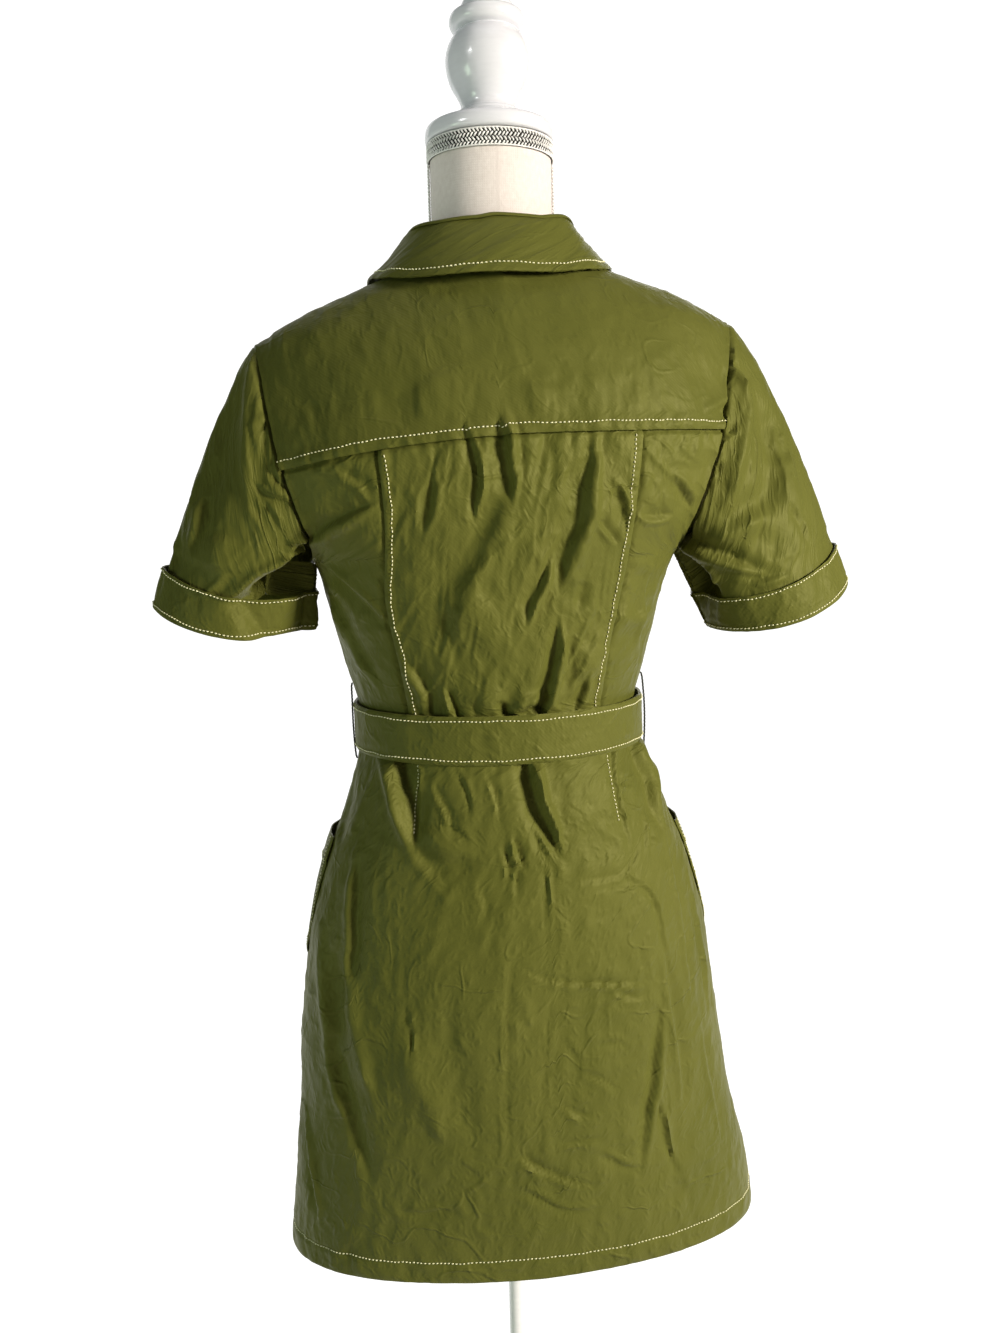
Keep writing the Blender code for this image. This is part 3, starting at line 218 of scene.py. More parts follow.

# %% [markdown]
# ## Thread, resin, linen, braid and paint
# Topstitching is a cream polyester-cotton thread, slightly shiny. The buttons and the slide buckle are
# cast resin, cloudy and polished. The form is covered in unbleached linen, plain woven, with 0.9 mm
# between threads as drawn. The gimp braid is a matt grey-white cord. The finial, plate, pole and base are
# turned wood or steel in white gloss paint with faint marks of the brush. The finial and the plate have a
# greyer copy of that paint, which is painted shade: it tones down the stronger light that falls on them.

# %% Thread and resin
cream_thread, thread_shader = new_material("cream_sewing_thread", Roughness=0.55, Sheen_Weight=0.3)
twist = noise(cream_thread, where(cream_thread), 400.0)
two_tone(cream_thread, thread_shader, twist, "#E2DCA6", "#FBF7D2")
dark_thread, _ = new_material("dark_loop_thread", Base_Color=linear("#26281C"), Roughness=0.7)

resin, resin_shader = new_material("cast_resin", Roughness=0.28, IOR=1.54, Coat_Weight=0.4,
                                   Coat_Roughness=0.12)
cloud = noise(resin, where(resin), 160.0, 3.0, bent=1.2)
two_tone(resin, resin_shader, cloud, "#3F3A1C", "#7C7440")
print("made", cream_thread.name, dark_thread.name, resin.name)

# %% Linen
LINEN_THREAD = 0.0009

linen, linen_shader = new_material("unbleached_linen", Roughness=0.9, Sheen_Weight=0.15)
linen_grid = where(linen, "UV", (1 / LINEN_THREAD,) * 3)
warp, weft = (threads(linen, linen_grid, 1.2, direction) for direction in "XY")
cross = calculate(linen, "MULTIPLY", warp, weft)
mottle = noise(linen, where(linen, "UV", (260.0, 190.0, 1.0)), detail=4.0, rough=0.65)
two_tone(linen, linen_shader, mottle, "#CCC0BA", "#E8E0DC")
link(linen, bump(linen, mottle, 0.5, 0.0006, bump(linen, cross, 0.35, 0.0002)), linen_shader, "Normal")
print("made", linen.name)

# %% Braid and paint
gimp_cord, cord_shader = new_material("grey_white_gimp_cord", Roughness=0.8, Sheen_Weight=0.2)
cord_noise = noise(gimp_cord, where(gimp_cord), 900.0, 3.0)
two_tone(gimp_cord, cord_shader, cord_noise, "#D6D3D0", "#FBFAF9")
# near-black sheet behind the braid cords: painted shadow for the gaps between them
braid_shadow, _ = new_material("braid_gap_painted_shadow", Base_Color=linear("#14110F"), Roughness=0.95)


def gloss_paint(name, tone, light_tone):
    """White gloss paint, brushed along the turning."""
    paint, shader = new_material(name, Roughness=0.26, IOR=1.5, Coat_Weight=0.35, Coat_Roughness=0.1)
    brushed = noise(paint, where(paint, scale=(60.0, 60.0, 320.0)), detail=3.0)
    link(paint, bump(paint, brushed, 0.25, 0.0004), shader, "Normal")
    two_tone(paint, shader, brushed, tone, light_tone)
    return paint


white_gloss = gloss_paint("white_gloss_paint", "#E6E6EA", "#F2F2F4")
# greyer copy of the same white paint for the finial and plate: painted shade against the stronger light on
# them
shaded_gloss = gloss_paint("shaded_white_gloss_paint", "#D4D4DB", "#E0E0E6")
print("made", gimp_cord.name, white_gloss.name, shaded_gloss.name)

# %% [markdown]
# ## The body of the dress
# Every sewn piece lies on one surface, and that surface is worked out from short tables: how wide and how
# deep the dress is at each height, and how the shoulders close over in an arch. A point is named by its
# girth (an angle round the body from the centre line) and its height along the cloth.

# %% Body tables
UP, LEVEL = np.array([0.0, 0.0, 1.0]), np.array([1.0, 1.0, 0.0])
SIDES = ((1, "left"), (-1, "right"))


def mm(*rows):
    """Rows of a table in millimetres, as metres."""
    return [tuple(value / 1000 for value in row) for row in rows]


WAIST = 0.985
UNDERARM = 1.122
ARCH_FOOT = 1.2
ARCH_RUN = 0.22
RIDGE = ARCH_FOOT + ARCH_RUN
SHOULDER_SEAM = RIDGE - 0.066
LEAN = 0.036
FRONT_ARCH_POWER = 1.35
FRONT_LAP = 0.015
LAP_COLUMN = 0.021
NECK_SIDE = 0.062
NECK_BACK = 1.338
YOKE_END = 0.172
YOKE_LEVEL = 1.215
LAP_LIFT = 0.0026

# height, half width, depth in front, depth behind, shift to the wearer's left
BODY_ROWS = mm(
    (500, 215, 117, 113, -9.5), (570, 207, 116, 113, -8.5), (650, 193, 116, 114, -3),
    (710, 186.5, 116, 115, -0.5), (770, 179, 116, 115, 0), (820, 170, 114, 113, 0),
    (860, 158.5, 110, 109, 0), (905, 141, 103, 102, 0.5), (940, 128.5, 95, 96, 1.5),
    (965, 119.5, 90, 91, 3.5), (1005, 118, 88, 89, 4.5), (1030, 125, 94, 93, 4.5),
    (1060, 132.5, 105, 97, 4.5), (1094, 140.5, 117, 101, 4), (1125, 152, 125, 105, 2),
    (1160, 185, 125, 108, 1), (1200, 205, 119, 108, 0))
# distance from the centre, height of the shoulder ridge there
RIDGE_ROWS = mm((0, 1375), (60, 1360), (110, 1342), (153, 1325), (185, 1308), (210, 1292))
# height along the cloth, distance of the armhole from the centre
ARMHOLE_ROWS = mm((1122, 151.5), (1140, 152), (1160, 158), (1180, 164.5), (1200, 171), (1250, 180),
                  (1310, 187), (1420, 194.5))
# distance from the centre, height of the yoke seam
YOKE_SEAM_ROWS = mm((-190, 1215), (-90, 1216.5), (0, 1217.5), (90, 1212.5), (190, 1199))
# height, distance of the princess seam on the left, on the right
PRINCESS_ROWS = mm((960, 70, 74), (1040, 82, 81), (1100, 92.5, 92.5), (1160, 93, 98), (1230, 100, 104))
# height, how far a front's neck edge lies from the centre
NECK_EDGE_ROWS = mm((1222, -15), (1236, -9), (1262, 11), (1290, 31), (1312, 45))
# height along the cloth, distance of the neck opening in front of the ridge
FRONT_NECKLINE_ROWS = mm((1312, 45), (1330, 52), (1354, 57.5), (1385, 61), (1420, 62))
BUST_APART, BUST_HEIGHT, BUST_SPREAD, BUST_OUT = 0.082, 1.16, 0.046, 0.011
print("body from", BODY_ROWS[0][0], "to", RIDGE_ROWS[0][1], "m")


# %% Body functions
def read(rows, key, column):
    """A table's column at any key, on a smooth curve through its rows."""
    keys = np.array([row[0] for row in rows])
    values = np.array([row[column] for row in rows])
    slopes = np.gradient(values, keys)
    k = np.clip(np.asarray(key, float), keys[0], keys[-1])
    i = np.clip(np.searchsorted(keys, k) - 1, 0, len(keys) - 2)
    span = keys[i + 1] - keys[i]
    t = (k - keys[i]) / span
    ends = values[i] * (1 + 2 * t) * (1 - t) ** 2 + values[i + 1] * t * t * (3 - 2 * t)
    return ends + span * (slopes[i] * t * (1 - t) ** 2 - slopes[i + 1] * t * t * (1 - t))


def xyz(x, y, z):
    return np.stack(np.broadcast_arrays(x, y, z), axis=-1)


def trail(points):
    """Distance along a line of points, from its start."""
    return np.concatenate([[0.0], np.cumsum(np.linalg.norm(np.diff(points, axis=0), axis=1))])


def pick(where, run, values):
    """Rows of values at distances along their run."""
    return np.stack([np.interp(where, run, values[:, k]) for k in range(3)], axis=-1)


def ease(t):
    t = np.clip(t, 0.0, 1.0)
    return t * t * (3 - 2 * t)


def bell(x, width):
    """A smooth bump, 1 at 0 and about a third at its width."""
    return np.exp(-((x / width) ** 2))


def unit(vectors):
    return vectors / np.maximum(np.linalg.norm(vectors, axis=-1, keepdims=True), 1e-12)


def half_width(height):
    return read(BODY_ROWS, np.minimum(height, ARCH_FOOT), 1)


def body(side, girth, height):
    """Points of the smooth body. side is +1 behind and -1 in front."""
    girth, height = np.broadcast_arrays(np.asarray(girth, float), np.asarray(height, float))
    level = np.minimum(height, ARCH_FOOT)
    turn = np.maximum(height - ARCH_FOOT, 0.0) / ARCH_RUN * (math.pi / 2)
    behind = side * np.cos(turn) > 0
    depth = np.where(behind, read(BODY_ROWS, level, 3), read(BODY_ROWS, level, 2))
    closing = np.abs(np.cos(turn)) ** np.where(behind, 1.0, FRONT_ARCH_POWER)
    x = half_width(level) * np.sin(girth)
    y = np.where(behind, 1.0, -1.0) * depth * np.cos(girth) * closing
    ridge = read(RIDGE_ROWS, np.abs(x), 1)
    z = np.where(height < ARCH_FOOT, height, ARCH_FOOT + (ridge - ARCH_FOOT) * np.sin(turn))
    away = (np.abs(x) - BUST_APART) ** 2 + (z - BUST_HEIGHT) ** 2
    y = y - np.where(behind, 0.0, BUST_OUT) * np.exp(-away / (2 * BUST_SPREAD**2))
    x = x + read(BODY_ROWS, level, 4)
    z = z - LEAN * x * ease((z - 1.0) / 0.25)
    return xyz(x, y, z)


def body_normals(side, girth, height):
    step = 1e-4
    along = body(side, girth + step, height) - body(side, girth - step, height)
    rise = body(side, girth, height + step) - body(side, girth, height - step)
    return unit(np.cross(along, rise)) * -side


def girth_at(x, height):
    return np.arcsin(np.clip(np.asarray(x) / half_width(height), -1.0, 1.0))


def height_at_level(x, level):
    ridge = read(RIDGE_ROWS, np.abs(x), 1)
    share = np.clip((level - ARCH_FOOT) / (ridge - ARCH_FOOT), 0.0, 1.0)
    return np.where(level < ARCH_FOOT, level, ARCH_FOOT + ARCH_RUN * np.arcsin(share) / (math.pi / 2))


def edge_girth(rows, height):
    """Girth of an edge from its table. In front of the ridge, height counts on down the other side."""
    folded = np.where(height > RIDGE, 2 * RIDGE - height, height)
    return girth_at(read(rows, folded, 1), folded)


def armhole_girth(height):
    return edge_girth(ARMHOLE_ROWS, height)


def yoke_seam_height(x):
    return height_at_level(x, read(YOKE_SEAM_ROWS, x, 1))


def yoke_corner(sign):
    height = yoke_seam_height(sign * YOKE_END)
    return float(sign * armhole_girth(height)), float(height)


def princess_x(height, sign):
    return sign * read(PRINCESS_ROWS, height, 1 if sign > 0 else 2)


def princess_corner(sign):
    height = yoke_seam_height(princess_x(YOKE_LEVEL, sign))
    return float(girth_at(princess_x(height, sign), height)), float(height)


def neckline_height(girth):
    share = np.abs(np.sin(girth)) * half_width(RIDGE) / NECK_SIDE
    return NECK_BACK + (RIDGE - NECK_BACK) * share**3


def front_neck_girth(height):
    return edge_girth(FRONT_NECKLINE_ROWS, height)


print("waist half width", float(half_width(WAIST)))

# %% [markdown]
# ## Creases
# A crease is a soft trough or ridge along a line on the cloth. A row of a crease table gives its half
# width and depth, which side is raised (a fold has a lip: +1 puts it on the left of the line's direction,
# -1 on the right, 0 is an even trough or ridge), how strong it already is at its start (1 where it comes
# out of a seam), and the line itself as x, z places, all in millimetres. A fold is steep under its lip and
# soft on the other side. It fades and narrows towards its ends and wobbles a little, so no two are alike.
# Fine crumpling comes from smooth random heights, one octave on another, stretched along the warp.

# %% Crease helpers
def smooth_line(places, count=12):
    """Evenly spaced points on a smooth curve through a few places."""
    places = np.asarray(places, float)
    run = trail(places)
    rows = np.column_stack([run, places])
    t = np.linspace(0, run[-1], count)
    return np.stack([read(rows, t, k + 1) for k in range(places.shape[1])], axis=-1)


def bumps_of_noise(u, v, seed):
    """Smooth random heights from -1 to 1, about one bump for each unit of u and of v."""
    table = np.random.default_rng(seed).uniform(-1, 1, (97, 97))
    i, j = np.floor(u).astype(int), np.floor(v).astype(int)
    s, t = ease(u - i), ease(v - j)
    low = table[i % 97, j % 97] * (1 - s) + table[(i + 1) % 97, j % 97] * s
    high = table[i % 97, (j + 1) % 97] * (1 - s) + table[(i + 1) % 97, (j + 1) % 97] * s
    return low * (1 - t) + high * t


def one_crease(places, row):
    """Height of one crease at each place."""
    width, height, lip, start, line = row
    line = smooth_line(line)
    total = np.zeros(places.shape[:-1])
    reach = 3.6 * width
    near = np.all((places > line.min(0) - reach) & (places < line.max(0) + reach), axis=-1)
    at = places[near]
    if len(at) == 0:
        return total
    gap, side, along = np.full(len(at), np.inf), np.zeros(len(at)), np.zeros(len(at))
    run = 0.0
    for a, b in zip(line, line[1:]):
        step = b - a
        length = math.hypot(*step)
        rel = at - a
        t = np.clip(rel @ step / length**2, 0, 1)
        away = np.linalg.norm(rel - t[:, None] * step, axis=1)
        closer = away < gap
        gap = np.where(closer, away, gap)
        side = np.where(closer, np.sign(step[0] * rel[:, 1] - step[1] * rel[:, 0]), side)
        along = np.where(closer, run + t * length, along)
        run += length
    t = along / run
    wobble = 0.3 * bumps_of_noise(along / 0.021, at[:, 0] / 0.06, int(abs(height) * 1e6) % 97)
    fade = (start + (1 - start) * ease(t / 0.22)) * ease((1 - t) / 0.45)
    s = gap * side / np.maximum(width * (0.52 + 0.58 * fade), 0.003) + wobble
    if lip:
        s = s * lip
        steep = np.where(s > 0, 0.34, 1.15)
        shape = 0.75 * bell(s - 0.85, 0.55) - bell(s, steep)
    else:
        shape = np.exp(-(s**2))
    total[near] = 1.12 * height * shape * fade
    return total


def crease_rows(table):
    """A crease table in millimetres, as rows in metres with the line as (x, z) places."""
    return [(width / 1000, height / 1000, lip, start, np.reshape(line, (-1, 2)) / 1000)
            for width, height, lip, start, *line in table]


def other_side(table, wider=1.04, shift=2):
    """The same creases on the wearer's other side, moved a little."""
    moved = []
    for width, height, lip, start, *line in table:
        line[::2] = [shift - wider * x for x in line[::2]]
        moved.append((width, height, -lip, start, *line))
    return moved


def both_sides(table):
    return table + other_side(table)


def creases(places, rows):
    return sum((one_crease(places, row) for row in rows), np.zeros(places.shape[:-1]))


def crumple(u, v, seed, amount=1.0):
    """Fine crumpling of washed cotton, in metres."""
    broad = bumps_of_noise(u / 0.019, v / 0.047, seed)
    bend = 0.6 * bumps_of_noise(u / 0.03, v / 0.03, seed + 1)
    crisp = 1 - 2.2 * np.abs(bumps_of_noise(u / 0.0125 + bend, v / 0.03 + bend, seed + 2))
    small = 1 - 2.2 * np.abs(bumps_of_noise(u / 0.007 + bend, v / 0.0135 - bend, seed + 3))
    return amount * (0.00052 * broad + 0.00042 * crisp + 0.00018 * small)


def drags(places, seed, lean, wide, long, tall):
    """Thin crisp creases that come and go, all leaning one way. lean is in degrees from straight down."""
    cos, sin = math.cos(math.radians(lean)), math.sin(math.radians(lean))
    x, z = places[..., 0], places[..., 1]
    bend = 0.55 * bumps_of_noise(x / 0.045, z / 0.045, seed + 5)
    across, along = x * cos + z * sin, z * cos - x * sin
    crest = 1 - 2.6 * np.abs(bumps_of_noise(across / wide + bend, along / long + bend, seed))
    there = ease(0.45 + 1.1 * bumps_of_noise(across / (2.3 * wide), along / (1.4 * long), seed + 7))
    return tall * np.maximum(crest, -0.6) * there


def gathers(seed, x_from, x_to, count, level, down, deepest):
    """Short puckers that run out of a seam, as crease rows. level(x) is the seam's height."""
    rng = np.random.default_rng(seed)
    rows = []
    for x in np.linspace(x_from, x_to, count):
        x = x + rng.uniform(-0.4, 0.4) * (x_to - x_from) / count
        long = rng.uniform(0.35, 1.0) * down
        width = rng.uniform(0.002, 0.0038)
        depth = rng.uniform(0.3, 1.0) * deepest * rng.choice([-1, -1, 1])
        z = float(level(x))
        rows.append((width, depth, 0, 1.0, ((x, z), (x + rng.uniform(-0.15, 0.15) * long, z - long))))
    return rows


print("crease helpers ready")

# %% [markdown]
# ## Cloth shells
# A sewn piece is a grid of points on the body, moved out by its creases, with a second skin underneath, so
# that its edges have the thickness of real cloth. The grid also knows how far each point is from the
# piece's edges along the cloth, for the seams: a piece that laps over another is lifted and has a stitched
# groove beside its edge, and the piece below dips.

# %% Shell helpers
CLOTH_THICK = 0.0009


def patch(left, right, bottom, top, v, u):
    """Fill between four edges of (girth, height) places, at shares v of the height and u of the width."""
    left, right, bottom, top = left[:, None], right[:, None], bottom[None], top[None]
    v, u = v[:, None, None], u[None, :, None]
    across = (1 - u) * left + u * right
    along = (1 - v) * bottom + v * top
    corners = ((1 - u) * (1 - v) * bottom[:, :1] + u * (1 - v) * bottom[:, -1:]
               + (1 - u) * v * top[:, :1] + u * v * top[:, -1:])
    return across + along - corners


def shares(count, edge=0.0016, length=0.2):
    """Shares from 0 to 1 with extra ones close to both ends."""
    close = np.array([0.35, 1.0, 2.0, 3.2]) * edge / length
    inside = np.linspace(0, 1, count + 1)
    inside = inside[(inside > close[-1] * 1.3) & (inside < 1 - close[-1] * 1.3)]
    return np.concatenate([[0.0], close, inside, (1 - close)[::-1], [1.0]])


def reach(points):
    """Distances along the cloth from the first and last row, and the first and last column."""
    def run(axis):
        steps = np.linalg.norm(np.diff(points, axis=axis), axis=-1)
        first = np.zeros_like(np.take(steps, [0], axis=axis))
        return np.cumsum(np.concatenate([first, steps], axis=axis), axis=axis)

    down, across = run(0), run(1)
    return down, down[-1:] - down, across, across[:, -1:] - across


def lapped(gap, band=0.006, lift=0.0011):
    """An edge that lies on top of its neighbour: lifted, rolled at the edge, grooved by its stitches."""
    groove = 0.0005 * bell(gap - band, 0.0011)
    roll = 0.0006 * bell(gap, 0.0012)
    return lift * ease((band + 0.003 - gap) / 0.004) - groove - roll


def tucked(gap, drop=0.0008):
    """An edge that lies under its neighbour."""
    return -drop * bell(gap, 0.0028)


def grid_normals(points):
    return unit(np.cross(np.gradient(points, axis=1), np.gradient(points, axis=0)))


def outward_normals(points, outward):
    """Normals of a grid, on the side that outward points to."""
    normals = grid_normals(points)
    return normals * np.sign(np.nansum(normals * outward))


def pushed(points, normals, push):
    """A grid moved out along its normals, and its new normals."""
    points = points + normals * push[..., None]
    return points, outward_normals(points, normals)


def new_object(name, vertices, faces, finish):
    """Smooth mesh object from plain arrays."""
    mesh = bpy.data.meshes.new(name)
    mesh.from_pydata(np.asarray(vertices).tolist(), [], [list(map(int, f)) for f in faces])
    mesh.materials.append(finish)
    mesh.shade_smooth()
    made = bpy.data.objects.new(name, mesh)
    bpy.context.scene.collection.objects.link(made)
    return made


def mesh_object(name, vertices, faces, finish, uv=None, sharp=45.0):
    """Mesh object that rides on the one body that the dress and its stand make."""
    made = new_object(name, vertices, faces, finish)
    mesh = made.data
    if uv is not None:
        corners = np.zeros(len(mesh.loops), np.int32)
        mesh.loops.foreach_get("vertex_index", corners)
        mesh.uv_layers.new(name="cut").data.foreach_set("uv", np.asarray(uv)[corners].ravel())
    if sharp:
        mesh.set_sharp_from_angle(angle=math.radians(sharp))
    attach(made, "root")
    return made


def shell(name, points, normals, finish, thick=CLOTH_THICK, keep=None):
    """Closed shell: the skin through the points, a second one behind it, and a rim round the edge."""
    rows, columns = points.shape[:2]
    index = np.arange(rows * columns).reshape(rows, columns)
    quads = np.stack([index[:-1, :-1], index[:-1, 1:], index[1:, 1:], index[1:, :-1]], axis=-1)
    quads = quads.reshape(-1, 4) if keep is None else quads[keep]
    faced = np.nansum(grid_normals(points) * normals) > 0
    quads = quads if faced else quads[:, ::-1]
    edges = np.concatenate([quads[:, [k, (k + 1) % 4]] for k in range(4)])
    tall = rows * columns
    keys = np.sort(edges, axis=1) @ np.array([tall, 1])
    _, first, counts = np.unique(keys, return_index=True, return_counts=True)
    border = edges[first[counts == 1]]
    rim = np.stack([border[:, 1], border[:, 0], border[:, 0] + tall, border[:, 1] + tall], axis=-1)
    faces = np.concatenate([quads, quads[:, ::-1] + tall, rim])
    vertices = np.concatenate([points.reshape(-1, 3), (points - normals * thick).reshape(-1, 3)])
    down, _, across, _ = reach(points)
    uv = np.stack([across, down], axis=-1).reshape(-1, 2)
    uv = np.concatenate([uv, uv])
    used = np.unique(faces)
    new_ids = np.zeros(len(vertices), int)
    new_ids[used] = np.arange(len(used))
    made = mesh_object(name, vertices[used], new_ids[faces], finish, uv[used], 60.0)
    a, b, c, d = (points.reshape(-1, 3)[quads[:, k]] for k in range(4))
    area = np.linalg.norm(np.cross(c - a, d - b), axis=1).sum() / 2
    print(f"{name}: {len(faces)} faces, {area:.4f} m2, {across.max():.3f} by {down.max():.3f} m")
    return made


# %% [markdown]
# ## Round sections
# Stitches, cords, loops and the buckle are round sections swept along a path. These functions give the
# mesh arrays of a sweep, of a turned solid and of many short tubes, so hundreds can be joined in one mesh.

# %% Sweep helpers
def ring_faces(ids, closed=False):
    """Quads between rows of ids, each row a ring. closed joins the last row to the first."""
    low, high = (ids, np.roll(ids, -1, axis=0)) if closed else (ids[:-1], ids[1:])
    quads = np.stack([low, np.roll(low, -1, axis=1), np.roll(high, -1, axis=1), high], axis=-1)
    return quads.reshape(-1, 4).tolist()


def circle(sides, first, second):
    """Sections of a unit tube: (place, side) points from two directions at each place."""
    angle = (np.arange(sides) * math.tau / sides)[None, :, None]
    return np.cos(angle) * first[:, None] + np.sin(angle) * second[:, None]


def sweep(path, radius, sides=8, closed=False, flat=1.0, level=(0.0, 1.0, 0.0)):
    """Vertices and faces of a round or oval section along a path. flat squeezes it across level."""
    path = np.asarray(path, float)
    step = np.roll(path, -1, axis=0) - np.roll(path, 1, axis=0) if closed else np.gradient(path, axis=0)
    along = unit(step)
    second = unit(np.cross(along, np.broadcast_to(level, along.shape)))
    rings = path[:, None] + radius * circle(sides, unit(np.cross(second, along)) * flat, second)
    ids = np.arange(len(path) * sides).reshape(-1, sides)
    ends = [] if closed else [ids[0, ::-1].tolist(), ids[-1].tolist()]
    return rings.reshape(-1, 3), ring_faces(ids, closed) + ends


def tubes(rings):
    """Vertices and faces of many short tubes, from points by tube, ring and side."""
    count, levels, sides = rings.shape[:3]
    ids = np.arange(count * levels * sides).reshape(count, levels, sides)
    nxt = np.roll(ids, -1, axis=2)
    walls = np.stack([ids[:, :-1], nxt[:, :-1], nxt[:, 1:], ids[:, 1:]], axis=-1).reshape(-1, 4)
    return rings.reshape(-1, 3), walls.tolist() + ids[:, 0, ::-1].tolist() + ids[:, -1].tolist()


def lathe(rows, segments, axis_gap=1e-6):
    """Vertices and faces of a turned solid, from (radius, height) rows."""
    radius, height = np.maximum(np.array(rows)[:, :1], axis_gap), np.array(rows)[:, 1:]
    angle = np.arange(segments) * math.tau / segments
    rings = xyz(radius * np.cos(angle), radius * np.sin(angle), height)
    ids = np.arange(len(rows) * segments).reshape(-1, segments)
    return rings.reshape(-1, 3), ring_faces(ids) + [ids[0, ::-1].tolist(), ids[-1].tolist()]


def joined(parts):
    """Several (vertices, faces) as one."""
    vertices, faces, base = [], [], 0
    for some_vertices, some_faces in parts:
        vertices.append(some_vertices)
        faces += [[base + k for k in face] for face in some_faces]
        base += len(some_vertices)
    return np.concatenate(vertices), faces


def placed(name, parts, finish, nodes=(), sharp=None):
    """One mesh of several (vertices, faces), and what it stands for."""
    made = mesh_object(name, *joined(parts), finish, sharp=sharp)
    if nodes:
        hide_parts(*nodes)
    print(name, len(made.data.polygons), "faces")
    return made


# %% [markdown]
# ## Stitches
# A topstitch is a short length of thread that lies on the cloth and dives in at both ends. Each one is a
# thin tube of four rings that bows up in the middle. A whole seam's stitches are collected first, and
# then made as one mesh from arrays, because there are thousands.

# %% Stitch helpers
STITCH_PITCH = 0.0033
STITCH_LONG = 0.002
STITCH_RADIUS = 0.00047
STITCH_WANDER = 0.00045
STITCH_SEAT = 0.00018
stitch_bins = {}


def line_at(points, distance, target, axis):
    """The line on a grid at one distance from an edge. axis 0 looks down each column, 1 along rows.
    No seam is quite straight, so the distance wanders a little."""
    if axis == 1:
        points, distance = points.swapaxes(0, 1), distance.T
    found = []
    step = np.arange(points.shape[1])
    wander = sum(STITCH_WANDER * bumps_of_noise(step / long, 0 * step, seed)
                 for long, seed in ((5.0, 61), (17.0, 62)))
    for j in step:
        gaps = distance[:, j]
        order = np.argsort(gaps)
        found.append([np.interp(target + wander[j], gaps[order], points[order, j, k]) for k in range(3)])
    return np.array(found)


def topstitch(group, line, normals, seed):
    """Collect stitches along a line on the cloth, standing on its normals."""
    run = trail(line)
    rng = np.random.default_rng(seed)
    starts = np.arange(0.3 * STITCH_PITCH, run[-1] - STITCH_LONG, STITCH_PITCH)
    starts = starts + rng.uniform(-0.08, 0.08, len(starts)) * STITCH_PITCH
    for bow, share in ((-0.55, 0.0), (0.75, 0.22), (0.75, 0.78), (-0.55, 1.0)):
        s = starts + share * STITCH_LONG
        centre, normal = pick(s, run, line), unit(pick(s, run, normals))
        along = unit(pick(s + 2e-4, run, line) - pick(s - 2e-4, run, line))
        centre = centre + normal * (STITCH_SEAT + bow * STITCH_RADIUS)
        stitch_bins.setdefault(group, []).append((centre, unit(np.cross(along, normal)), normal))


def make_stitches(name, group):
    """One joined mesh of every stitch in a group."""
    collected = stitch_bins[group]
    parts = []
    for k in range(0, len(collected), 4):
        rings = [centre[:, None] + STITCH_RADIUS * size * circle(5, flat, normal)
                 for size, (centre, flat, normal) in zip((0.55, 1.0, 1.0, 0.55), collected[k:k + 4])]
        parts.append(tubes(np.stack(rings, axis=1)))
    placed(name, parts, cream_thread)
    print(sum(len(c[0]) for c in collected) // 4, "stitches")
